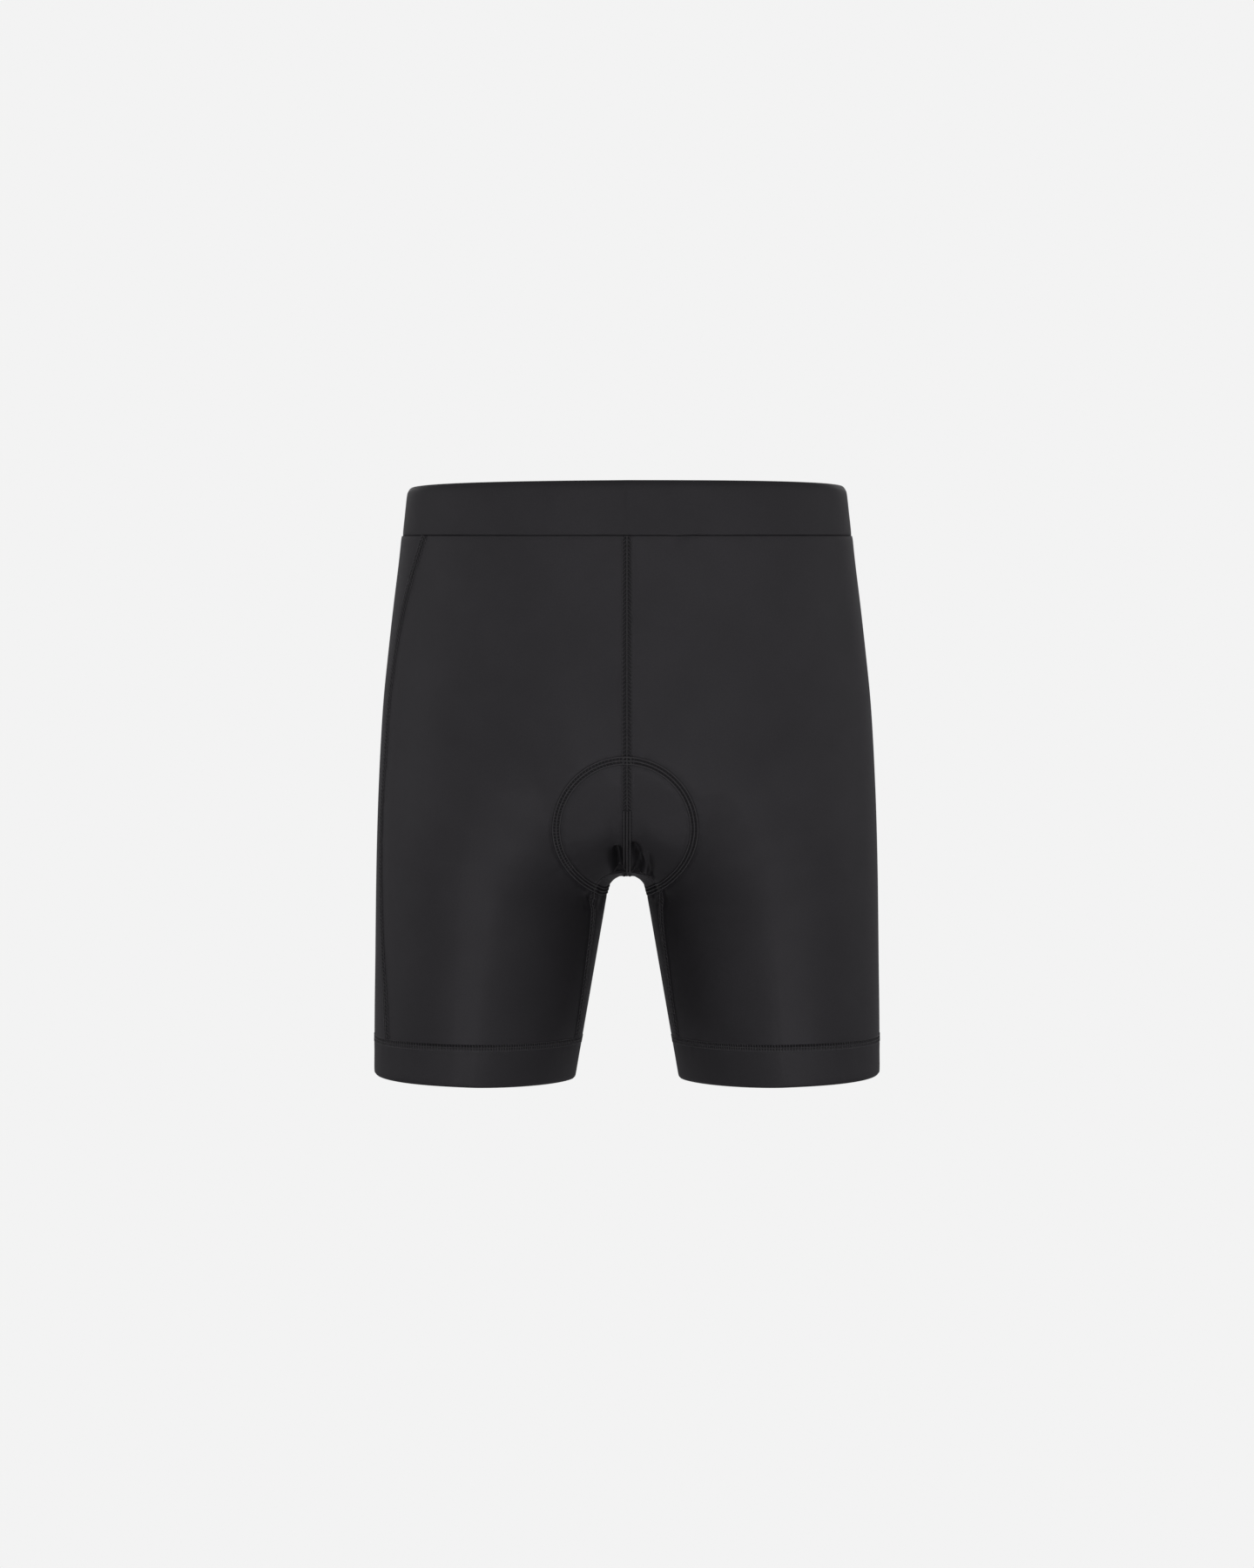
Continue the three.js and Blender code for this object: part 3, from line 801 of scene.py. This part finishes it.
def put_in_scene(name, data):
    made = bpy.data.objects.new(name, data)
    bpy.context.scene.collection.objects.link(made)
    return made


def mesh_object(name, points, faces, material, sharp=(), layers=None):
    """A smooth-shaded mesh in metres from points in millimetres. Quads may have two corners in one place."""
    clean = []
    for face in faces.tolist():
        corners = [v for k, v in enumerate(face) if v != face[k - 1]]
        if len(corners) > 2:
            clean.append(corners)
    mesh = bpy.data.meshes.new(name)
    mesh.from_pydata((points * MM).tolist(), [], clean)
    mesh.polygons.foreach_set("use_smooth", [True] * len(mesh.polygons))
    if len(sharp):
        wanted = {tuple(sorted(edge)) for edge in np.asarray(sharp).tolist()}
        for edge in mesh.edges:
            if tuple(sorted(edge.vertices)) in wanted:
                edge.use_edge_sharp = True
    corner = np.zeros(len(mesh.loops), np.int64)
    mesh.loops.foreach_get("vertex_index", corner)
    for layer_name, values in (layers or {}).items():
        layer = mesh.uv_layers.new(name=layer_name)
        layer.data.foreach_set("uv", values[corner].astype(np.float32).ravel())
    mesh.materials.append(material)
    return put_in_scene(name, mesh)


GRAIN_COLUMN = 0.55


def knit_places(grids):
    """Where each grid point lies in the knit, in millimetres: across from a middle wale, and down it."""
    places = []
    start = 0.0
    for grid in grids:
        middle = int(grid.shape[1] * GRAIN_COLUMN)
        across = np.linalg.norm(np.diff(grid, axis=1), axis=2)
        across = np.concatenate([np.zeros((len(grid), 1)), np.cumsum(across, axis=1)], axis=1)
        across -= across[:, middle:middle + 1]
        down = start + lengths_along(grid[:, middle])
        start = down[-1]
        places.append(np.stack([across, np.broadcast_to(down[:, None], across.shape)], -1).reshape(-1, 2))
    return np.concatenate(places)


def panel(name, grids, forward, mirrored, material):
    """A panel's wall, thickened inwards from its relief."""
    points, quads, first = sheet_of(grids, forward)
    knit = knit_places(grids)[first]
    normals = unit(gradient(points))
    if mirrored:
        points, normals, quads = points * MIRROR, normals * MIRROR, quads[:, ::-1]
    outer = points + normals * relief(points)[:, None]
    inner = outer - normals * PANEL_WALL
    away, along = nearest_of(points, FLAT_SEAMS)
    ring_away, ring_along = nearest(points, seam_lines["ring"])
    far = np.full((len(points), 2), NEAR_SEAM)
    layers = {
        "knit": np.concatenate([knit, knit]),
        "seam": np.concatenate([np.stack([along, away], -1), far]),
        "ring": np.concatenate([np.stack([ring_along, ring_away], -1), far]),
    }
    count = len(points)
    rim = open_edges(quads)
    bridge = np.stack([rim[:, 1], rim[:, 0], rim[:, 0] + count, rim[:, 1] + count], -1)
    faces = np.concatenate([quads, quads[:, ::-1] + count, bridge])
    sharp = np.concatenate([rim, rim + count])
    return mesh_object(name, np.concatenate([outer, inner]), faces, material, sharp, layers)


def band(name, section, sides, ring_at, relief_at, mirrored, material, seam=None):
    """A band round a closed line. Its section is how far in from the form it lies, at a share up the band."""
    turn = 2 * math.pi * np.arange(sides) / sides
    rings = []
    for up, inset in section:
        p = ring_at(turn, up)
        n = gradient(p)
        n[:, 2] = 0
        rings.append(p - unit(n) * (inset - relief_at(p))[:, None])
    points = np.stack(rings, 1)
    round_line = np.concatenate([points[:, 0], points[:1, 0]])
    down_line = np.concatenate([points[:1], points[:1, :1]], axis=1)[0]
    knit = np.meshgrid(lengths_along(round_line)[:-1], lengths_along(down_line)[:-1], indexing="ij")
    knit = np.stack(knit, -1)
    if mirrored:
        points = points * MIRROR
    size = len(section)
    i, j = np.meshgrid(np.arange(sides), np.arange(size), indexing="ij")
    after, up = (i + 1) % sides, (j + 1) % size
    quads = np.stack([i * size + j, after * size + j, after * size + up, i * size + up], -1).reshape(-1, 4)
    if mirrored:
        quads = quads[:, ::-1]
    points, knit = points.reshape(-1, 3), knit.reshape(-1, 2)
    far = np.full_like(knit, NEAR_SEAM)
    beside = np.stack(nearest(points, seam_lines[seam])[::-1], -1) if seam else far
    return mesh_object(name, points, quads, material, (), {"knit": knit, "seam": beside, "ring": far})


# A band's section: share up the band, depth in shares of the wall, and steps to the next row
WAISTBAND_SECTION = (
    (0.0, 0.0, 6),
    (0.45, 0.0, 6),
    (0.84, 0.0, 3),
    (0.93, 0.25, 3),
    (0.985, 0.7, 2),
    (1.0, 1.2, 2),
    (0.975, 1.55, 3),
    (0.84, 1.15, 4),
    (0.45, 1.0, 5),
    (0.0, 1.0, 1),
)
HEM_BAND_SECTION = (
    (0.03, 0.18, 2),
    (0.1, 0.0, 5),
    (0.55, 0.0, 5),
    (1.0, 0.0, 1),
    (1.0, 1.0, 4),
    (0.55, 1.0, 4),
    (0.1, 1.0, 2),
    (0.03, 0.82, 1),
    (0.0, 0.5, 1),
)
WAISTBAND_SIDES = 400
HEM_BAND_SIDES = 220


def band_section(rows, wall, set_in):
    return rounded([(up, set_in + depth * wall) for up, depth, _ in rows], [steps for _, _, steps in rows])


def waistband_ring(turn, up):
    return on_edge(waist_point, turn, lambda p: mix(waist_seam(p), top_edge(p), up))


def hem_ring(turn, up):
    return on_edge(leg_point, -turn, lambda p: mix(hem_edge(p), hem_seam(p), up))


def waistband_relief(p):
    """Slack of the elastic: long low waves that are weaker towards the top."""
    wave = waves(WAISTBAND_WAVES, np.arctan2(p[:, 0], -p[:, 1]))
    low = np.exp(-np.maximum(p[:, 2] - waist_seam(p), 0) / WAISTBAND_WAVE["reach"])
    return WAISTBAND_WAVE["height"] * wave * mix(WAISTBAND_WAVE["at_top"], 1, low)


def hem_relief(p):
    """The hem band dips at its seam and under its stitching."""
    down = hem_seam(p) - p[:, 2]
    turn = np.arctan2(-p[:, 1], np.abs(p[:, 0]) - leg_axis(p[:, 2]))
    roll = HEM_ROLL * hump(down, HEM_ROLL_REACH)
    press = HEM_PRESS["depth"] * hump(down - HEM_PRESS["down"], HEM_PRESS["reach"])
    wave = HEM_WAVE["height"] * waves(HEM_WAVES, turn) * hump(down - HEM_WAVE["down"], HEM_WAVE["reach"])
    return wave - roll - press


# Stitching: a strand is a row of (share of the stitch, across, up), repeated along a seam

THREAD_RADIUS = 0.21
CORD_RADIUS = 0.42
FRONT_CORD_RADIUS = 0.5
THREAD_SIDES = 5
FLAT_PITCH = 2.72
HEM_PITCH = 2.0
RING_PITCH = 2.4
AHEAD_STEP = 0.6
WHOLE = (0.0, 1.0)


def on_both_sides(strand):
    return strand, tuple((share, -across, up) for share, across, up in strand)


def cords(apart, outer_up, middle_up):
    """Three smooth cords side by side."""
    places = ((-apart, outer_up), (0.0, middle_up), (apart, outer_up))
    rises = ((0.00, 0.0), (0.30, 0.1), (0.65, 0.1), (0.90, -0.02))
    return tuple(tuple((share, across, up + rise) for share, rise in rises) for across, up in places)


FLATLOCK = (
    *on_both_sides(((0.00, -0.85, -0.05), (0.12, -1.15, 0.24), (0.36, -2.05, 0.31), (0.58, -2.80, 0.18),
                    (0.66, -2.95, -0.12), (0.84, -1.90, -0.30))),
    ((0.00, -0.42, 0.22), (0.25, 0.0, 0.36), (0.50, 0.42, 0.22), (0.75, 0.0, 0.12)),
    ((0.00, 0.42, 0.22), (0.25, 0.0, 0.12), (0.50, -0.42, 0.22), (0.75, 0.0, 0.36)),
    *on_both_sides(((0.05, -2.95, -0.08), (0.22, -2.98, 0.12), (0.50, -2.98, 0.14), (0.72, -2.95, -0.08))),
)
HEM_COVER = (
    ((0.00, 0.15, 0.16), (0.25, 0.22, 0.24), (0.50, 0.15, 0.30), (0.75, 0.08, 0.22)),
    ((0.00, 2.50, 0.04), (0.25, 2.50, 0.20), (0.55, 2.50, 0.22), (0.80, 2.50, 0.02)),
    ((0.00, 4.75, 0.02), (0.25, 4.75, 0.16), (0.55, 4.75, 0.18), (0.80, 4.75, 0.00)),
    ((0.30, 0.30, 0.05), (0.36, 0.80, 0.22), (0.42, 1.90, 0.22), (0.48, 2.45, 0.02), (0.80, 2.45, -0.28),
     (0.98, 0.40, -0.28)),
    ((0.30, 2.60, 0.05), (0.36, 3.10, 0.20), (0.42, 4.10, 0.20), (0.48, 4.70, 0.02), (0.80, 4.70, -0.28),
     (0.98, 2.70, -0.28)),
)
FRONT_CORDS = cords(2.10, 0.20, 0.34)
FRONT_CORDS_FROM = -226.0  # height at which the front seam's stitching turns smooth
RING_CORDS = cords(2.35, 0.20, 0.26)
RING_RUNGS = on_both_sides(((0.20, -2.25, 0.10), (0.28, -1.70, 0.26), (0.38, -0.70, 0.28),
                            (0.46, -0.10, 0.10), (0.80, -0.30, -0.30), (0.98, -2.00, -0.30)))
RUNGS_FROM = 3.0  # radians round the ring's front circle from straight down, over the wearer's left
RUNGS_TO = 5.35


def strand_places(line, strand, pitch, span):
    """Along, across and up of one strand's points over part of a seam."""
    length = lengths_along(line)[-1]
    first, last = span[0] * length, span[1] * length
    count = max(int((last - first) / pitch), 1)
    rows = np.array(strand, float)
    stitch = np.arange(count)[:, None]
    along = first + (stitch + rows[:, 0]) * ((last - first) / count)
    across = np.broadcast_to(rows[:, 1], along.shape)
    up = np.broadcast_to(rows[:, 2], along.shape)
    return along.ravel(), across.ravel(), up.ravel()


def strand_points(line, places, relief_at):
    """A strand laid on the relief of the cloth beside a seam, with the cloth's normals."""
    along, across, up = places
    on_line = at_lengths(line, along)
    ahead = unit(at_lengths(line, along + AHEAD_STEP) - at_lengths(line, along - AHEAD_STEP))
    side = unit(np.cross(ahead, unit(gradient(on_line))))
    p = settle(on_line + side * across[:, None], 2)
    normal = unit(gradient(p))
    return p + normal * (relief_at(p) + up)[:, None], normal


def tube(points, normals, radius):
    """A closed thread along points, as vertices and quads."""
    ahead = unit(np.gradient(points, axis=0))
    side = unit(np.cross(ahead, normals))
    up = np.cross(side, ahead)
    turn = 2 * math.pi * np.arange(THREAD_SIDES) / THREAD_SIDES
    ring = np.cos(turn)[None, :, None] * side[:, None] + np.sin(turn)[None, :, None] * up[:, None]
    vertices = (points[:, None] + radius * ring).reshape(-1, 3)
    i, j = np.meshgrid(np.arange(len(points) - 1), np.arange(THREAD_SIDES), indexing="ij")
    after = (j + 1) % THREAD_SIDES
    quads = np.stack([i * THREAD_SIDES + j, i * THREAD_SIDES + after,
                      (i + 1) * THREAD_SIDES + after, (i + 1) * THREAD_SIDES + j], -1).reshape(-1, 4)
    return vertices, quads


def stitching(name, runs, relief_at, material):
    """One object of all the strands of some seams. A run is (line, strands, pitch, radius, span)."""
    vertices, faces = [], []
    start = 0
    for line, strands, pitch, radius, span in runs:
        for strand in strands:
            points, normals = strand_points(line, strand_places(line, strand, pitch, span), relief_at)
            tube_vertices, tube_faces = tube(points, normals, radius)
            vertices.append(tube_vertices)
            faces.append(tube_faces + start)
            start += len(tube_vertices)
    return mesh_object(name, np.concatenate(vertices), np.concatenate(faces), material)


def seam_share(name, z):
    """The share of a seam's length where it passes a height."""
    line = seam_lines[name]
    return lengths_along(line)[np.abs(line[:, 2] - z).argmin()] / lengths_along(line)[-1]


def ring_share(around):
    """The share of the ring's length at an angle round its front circle."""
    along = nearest(ring_front_point(np.array([around])), seam_lines["ring"])[1][0]
    return along / lengths_along(seam_lines["ring"])[-1]


def flat_run(name, span=WHOLE):
    return (seam_lines[name], FLATLOCK, FLAT_PITCH, THREAD_RADIUS, span)


# Materials

def new_material(name):
    material = bpy.data.materials.new(name)
    material.use_nodes = True
    return material, material.node_tree


def put(tree, socket, value):
    """A number or colour into a socket, or a link to it."""
    if isinstance(value, bpy.types.NodeSocket):
        tree.links.new(value, socket)
    else:
        socket.default_value = value


def calc(tree, operation, *values):
    """One step of arithmetic."""
    node = tree.nodes.new("ShaderNodeMath")
    node.operation = operation
    for socket, value in zip(node.inputs, values):
        put(tree, socket, value)
    return node.outputs["Value"]


def ramp(tree, value, low, high, start, end):
    """A value taken smoothly from one range to another."""
    node = tree.nodes.new("ShaderNodeMapRange")
    node.interpolation_type = "SMOOTHSTEP"
    names = ("Value", "From Min", "From Max", "To Min", "To Max")
    for name, number in zip(names, (value, low, high, start, end)):
        put(tree, node.inputs[name], number)
    return node.outputs["Result"]


def layer_place(tree, layer):
    """The two coordinates of a layer, in millimetres, and both as a vector."""
    uv = tree.nodes.new("ShaderNodeUVMap")
    uv.uv_map = layer
    parts = tree.nodes.new("ShaderNodeSeparateXYZ")
    tree.links.new(uv.outputs["UV"], parts.inputs["Vector"])
    return parts.outputs["X"], parts.outputs["Y"], uv.outputs["UV"]


def noise(tree, vector, scale, detail, roughness=0.5):
    node = tree.nodes.new("ShaderNodeTexNoise")
    put(tree, node.inputs["Vector"], vector)
    node.inputs["Scale"].default_value = scale
    node.inputs["Detail"].default_value = detail
    node.inputs["Roughness"].default_value = roughness
    return node.outputs["Fac"]


def needle_holes(tree, along, away, pitch, rows):
    """1 in the needle holes that lie in rows beside a seam, and 0 elsewhere."""
    share = calc(tree, "FRACT", calc(tree, "DIVIDE", along, pitch))
    step = calc(tree, "MULTIPLY", calc(tree, "SUBTRACT", share, 0.5), pitch)
    found = 0.0
    for row in rows:
        beside = calc(tree, "SUBTRACT", away, row)
        reach = calc(tree, "SQRT", calc(tree, "ADD", calc(tree, "MULTIPLY", step, step),
                                        calc(tree, "MULTIPLY", beside, beside)))
        found = calc(tree, "MAXIMUM", found, ramp(tree, reach, *HOLE_EDGE, 1.0, 0.0))
    return found


def tinted(tree, colour, strength):
    node = tree.nodes.new("ShaderNodeVectorMath")
    node.operation = "SCALE"
    node.inputs[0].default_value = colour
    put(tree, node.inputs["Scale"], strength)
    return node.outputs["Vector"]


def add_bump(tree, shader, height, strength, distance):
    node = tree.nodes.new("ShaderNodeBump")
    node.inputs["Strength"].default_value = strength
    node.inputs["Distance"].default_value = distance
    tree.links.new(height, node.inputs["Height"])
    tree.links.new(node.outputs["Normal"], shader.inputs["Normal"])


HOLE_EDGE = (0.3, 0.78)  # distances from a needle hole's middle over which it fades out
FLAT_HOLES = (0.93, 3.05)
HEM_HOLES = (1.3, 3.6)
RING_HOLES = (1.2,)
# Painted shade in the needle holes: their base colour is darkened to this share
HOLE_PAINTED_SHADE = 0.12
HOLE_DEPTH = 8.0
# Painted shade: the base colour along the flat seams and the ring is darkened to this share, and the cloth
# there is made rougher
SEAM_SHADE = 0.62
SEAM_SHADE_EDGE = (2.9, 3.5)
RING_SHADE_EDGE = (2.7, 3.6)
SEAM_ROUGHNESS = 0.6
WALE = 0.55
COURSE = 0.46
GRAIN_SCALE = 0.95
GRAIN_DEPTH = 0.22
GRAIN_RANGE = (0.25, 0.75)
GRAIN_HEIGHT = 2.0
PATCH_SCALE = 0.022
PATCH_DEPTH = 0.10
SOFT_RANGE = (0.3, 0.7)
KNIT_BUMP = 0.00003
THREAD_BUMP = 0.00004
PLY_SCALE = 2600.0
BODY_COLOUR = (0.0200, 0.0190, 0.0212)
BAND_COLOUR = (0.0195, 0.0186, 0.0206)
THREAD_COLOUR = (0.050, 0.048, 0.052)
SPECULAR_TINT = (0.98, 0.95, 1.0, 1)


def cloth_material(name, colour, roughness, bump_strength, pitch, rows):
    """Fine warp knit: wales and courses in relief, an uneven grain, needle holes along the seams that a bump
    sinks and painted shade darkens, and painted shade along the seam and ring bands.
    """
    material, tree = new_material(name)
    shader = tree.nodes["Principled BSDF"]
    across, down, place = layer_place(tree, "knit")
    wale = calc(tree, "SINE", calc(tree, "MULTIPLY", across, 2 * math.pi / WALE))
    course = calc(tree, "SINE", calc(tree, "MULTIPLY", down, 2 * math.pi / COURSE))
    grain = noise(tree, place, GRAIN_SCALE, 3.0, 0.65)
    patch = noise(tree, place, PATCH_SCALE, 2.0)
    along, away, _ = layer_place(tree, "seam")
    ring_along, ring_away, _ = layer_place(tree, "ring")
    hole = calc(tree, "MAXIMUM", needle_holes(tree, along, away, pitch, rows),
                needle_holes(tree, ring_along, ring_away, RING_PITCH, RING_HOLES))
    # under is the painted shade along the flat seams and the ring, 1 away from them; it also raises the
    # roughness there
    under = calc(tree, "MULTIPLY", ramp(tree, away, *SEAM_SHADE_EDGE, SEAM_SHADE, 1.0),
                 ramp(tree, ring_away, *RING_SHADE_EDGE, SEAM_SHADE, 1.0))

    tone = calc(tree, "MULTIPLY", ramp(tree, grain, *GRAIN_RANGE, 1 - GRAIN_DEPTH, 1 + GRAIN_DEPTH),
                ramp(tree, patch, *SOFT_RANGE, 1 - PATCH_DEPTH, 1 + PATCH_DEPTH))
    # Painted shade of the seam bands and the needle holes, multiplied into the base colour
    painted_shade = calc(tree, "MULTIPLY", under, ramp(tree, hole, 0.0, 1.0, 1.0, HOLE_PAINTED_SHADE))
    tone = calc(tree, "MULTIPLY", tone, painted_shade)
    tree.links.new(tinted(tree, colour, tone), shader.inputs["Base Color"])

    rough = calc(tree, "ADD", ramp(tree, grain, *GRAIN_RANGE, roughness - 0.05, roughness + 0.05),
                 calc(tree, "MULTIPLY", calc(tree, "SUBTRACT", 1.0, under), SEAM_ROUGHNESS))
    put(tree, shader.inputs["Roughness"], calc(tree, "MINIMUM", rough, 1.0))
    shader.inputs["Specular IOR Level"].default_value = 0.5
    shader.inputs["Specular Tint"].default_value = SPECULAR_TINT

    loops = calc(tree, "MULTIPLY", wale, calc(tree, "ADD", 1.0, calc(tree, "MULTIPLY", course, 0.5)))
    height = calc(tree, "ADD", loops, calc(tree, "MULTIPLY", grain, GRAIN_HEIGHT))
    height = calc(tree, "SUBTRACT", height, calc(tree, "MULTIPLY", hole, HOLE_DEPTH))
    add_bump(tree, shader, height, bump_strength, KNIT_BUMP)
    return material


def thread_material(name):
    """Textured sewing thread: soft plies with uneven light."""
    material, tree = new_material(name)
    shader = tree.nodes["Principled BSDF"]
    place = tree.nodes.new("ShaderNodeTexCoord").outputs["Object"]
    ply = noise(tree, place, PLY_SCALE, 2.0)
    tone = ramp(tree, ply, *SOFT_RANGE, 0.75, 1.25)
    tree.links.new(tinted(tree, THREAD_COLOUR, tone), shader.inputs["Base Color"])
    put(tree, shader.inputs["Roughness"], ramp(tree, ply, *SOFT_RANGE, 0.42, 0.58))
    shader.inputs["Sheen Weight"].default_value = 0.1
    add_bump(tree, shader, ply, 0.5, THREAD_BUMP)
    return material


body_knit = cloth_material("satin_tricot", BODY_COLOUR, 0.53, 0.5, FLAT_PITCH, FLAT_HOLES)
band_knit = cloth_material("band_tricot", BAND_COLOUR, 0.56, 0.4, HEM_PITCH, HEM_HOLES)
thread = thread_material("sewing_thread")

def finish_piece(made, node=None):
    if node:
        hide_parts(node)
    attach(made, "root")


waistband = band("waistband_cloth", band_section(WAISTBAND_SECTION, WAISTBAND_WALL, WAISTBAND_SET_IN),
                 WAISTBAND_SIDES, waistband_ring, waistband_relief, False, band_knit)
finish_piece(waistband, "waistband")
for side, mirrored in (("left", False), ("right", True)):
    side_turn = side_turns(side)
    front = panel(f"front_{side}_cloth", [front_grid(side_turn)], False, mirrored, body_knit)
    back = panel(f"back_{side}_cloth", back_grids(side_turn), True, mirrored, body_knit)
    hem = band(f"hem_band_{side}_cloth", band_section(HEM_BAND_SECTION, HEM_BAND_WALL, 0.0), HEM_BAND_SIDES,
               hem_ring, hem_relief, mirrored, band_knit, f"hem_{side}")
    finish_piece(front, f"front_{side}")
    finish_piece(back, f"back_{side}")
    finish_piece(hem, f"hem_band_{side}")

front_cords_at = seam_share("centre_front", FRONT_CORDS_FROM)
rung_span = (ring_share(RUNGS_FROM), ring_share(RUNGS_TO))
seam_runs = {name: [flat_run(name)] for name in FLAT_SEAMS}
seam_runs["centre_front"] = [
    flat_run("centre_front", (0.0, front_cords_at)),
    (seam_lines["centre_front"], FRONT_CORDS, FLAT_PITCH, FRONT_CORD_RADIUS, (front_cords_at, 1.0)),
]
# The left hem's line runs the other way round, so it is turned to have the stitches below it
for name, line in (("hem_left", seam_lines["hem_left"][::-1]), ("hem_right", seam_lines["hem_right"])):
    seam_runs[name] = [(line, HEM_COVER, HEM_PITCH, THREAD_RADIUS, WHOLE)]
seam_runs["seat_ring"] = [
    (seam_lines["ring"], RING_CORDS, RING_PITCH, CORD_RADIUS, WHOLE),
    (seam_lines["ring"], RING_RUNGS, RING_PITCH, THREAD_RADIUS, rung_span),
]
for name, runs in seam_runs.items():
    on_hem = name.startswith("hem")
    made = stitching(f"stitch_{name}", runs, hem_relief if on_hem else relief, thread)
    finish_piece(made)


# Studio: the sweep in millimetres, the camera and lights in metres

BACKDROP = (0.896, 0.896, 0.896, 1)
FLOOR_HEIGHT = -1000
SWEEP_FRONT = -3500
SWEEP_BEND = 1500
SWEEP_RADIUS = 800
SWEEP_TOP = 3500
SWEEP_HALF = 4000


def glow_material(name, colour, strength):
    material, tree = new_material(name)
    tree.nodes.remove(tree.nodes["Principled BSDF"])
    glow = tree.nodes.new("ShaderNodeEmission")
    glow.inputs["Color"].default_value = colour
    glow.inputs["Strength"].default_value = strength
    tree.links.new(glow.outputs["Emission"], tree.nodes["Material Output"].inputs["Surface"])
    return material


def sweep():
    """Floor that rises into a backdrop."""
    profile = [(SWEEP_FRONT, FLOOR_HEIGHT), (SWEEP_BEND, FLOOR_HEIGHT)]
    for a in np.linspace(0.1, math.pi / 2, 10):
        rise = SWEEP_RADIUS * (1 - math.cos(a))
        profile.append((SWEEP_BEND + SWEEP_RADIUS * math.sin(a), FLOOR_HEIGHT + rise))
    profile.append((SWEEP_BEND + SWEEP_RADIUS, SWEEP_TOP))
    points = np.array([(x, y, z) for y, z in profile for x in (-SWEEP_HALF, SWEEP_HALF)], float)
    faces = np.array([(2 * i, 2 * i + 1, 2 * i + 3, 2 * i + 2) for i in range(len(profile) - 1)])
    made = mesh_object("sweep", points, faces, glow_material("backdrop_paper", BACKDROP, 1.0))
    made.visible_diffuse = False
    made.visible_glossy = False


def area_light(name, place, width, height, watts):
    data = bpy.data.lights.new(name, "AREA")
    data.shape = "RECTANGLE"
    data.size = width
    data.size_y = height
    data.energy = watts
    made = put_in_scene(name, data)
    made.location = place
    made.rotation_mode = "QUATERNION"
    made.rotation_quaternion = (Vector(LIGHT_AIM) - Vector(place)).to_track_quat("-Z", "Y")


LIGHT_AIM = (0, 0, -0.2)
LIGHT_COLUMNS = ("name", "place", "width", "height", "watts")
LIGHTS = (
    ("front_key", (0, -2.2, 0.6), 0.8, 0.8, 3.15),
    ("front_low", (0, -2.0, -1.1), 0.8, 0.6, 6.8),
    ("under", (0, -0.9, -1.5), 0.9, 0.6, 1.8),
    ("left_30", (-1.2, -2.0, 0.2), 0.7, 1.4, 1.5),
    ("right_30", (1.2, -2.0, 0.2), 0.7, 1.4, 3.3),
    ("left_60", (-2.0, -1.1, 0.2), 0.7, 1.4, 2.9),
    ("right_60", (2.0, -1.1, 0.2), 0.7, 1.4, 1.7),
    ("left_90", (-2.2, 0, 0.1), 0.7, 1.4, 2.2),
    ("right_90", (2.2, 0, 0.1), 0.7, 1.4, 2.4),
    ("back_left", (-1.1, 2.0, 0.9), 0.8, 1.0, 3.4),
    ("back_right", (1.1, 2.0, 0.9), 0.8, 1.0, 3.4),
)
WORLD = (0.234, 0.231, 0.240, 1)
CAMERA = {"place": (0, -2.0, -0.1668), "down": 1.24, "lens": 64.5, "sensor": 36}

sweep()
for row in LIGHTS:
    area_light(**dict(zip(LIGHT_COLUMNS, row)))

world = bpy.data.worlds.new("studio")
world.use_nodes = True
world.node_tree.nodes["Background"].inputs["Color"].default_value = WORLD
bpy.context.scene.world = world
bpy.context.scene.view_settings.view_transform = "Standard"

camera = bpy.data.cameras.new("camera")
camera.lens = CAMERA["lens"]
camera.sensor_width = CAMERA["sensor"]
camera_object = put_in_scene("camera", camera)
camera_object.location = CAMERA["place"]
camera_object.rotation_euler = (math.radians(90 - CAMERA["down"]), 0, 0)
bpy.context.scene.camera = camera_object
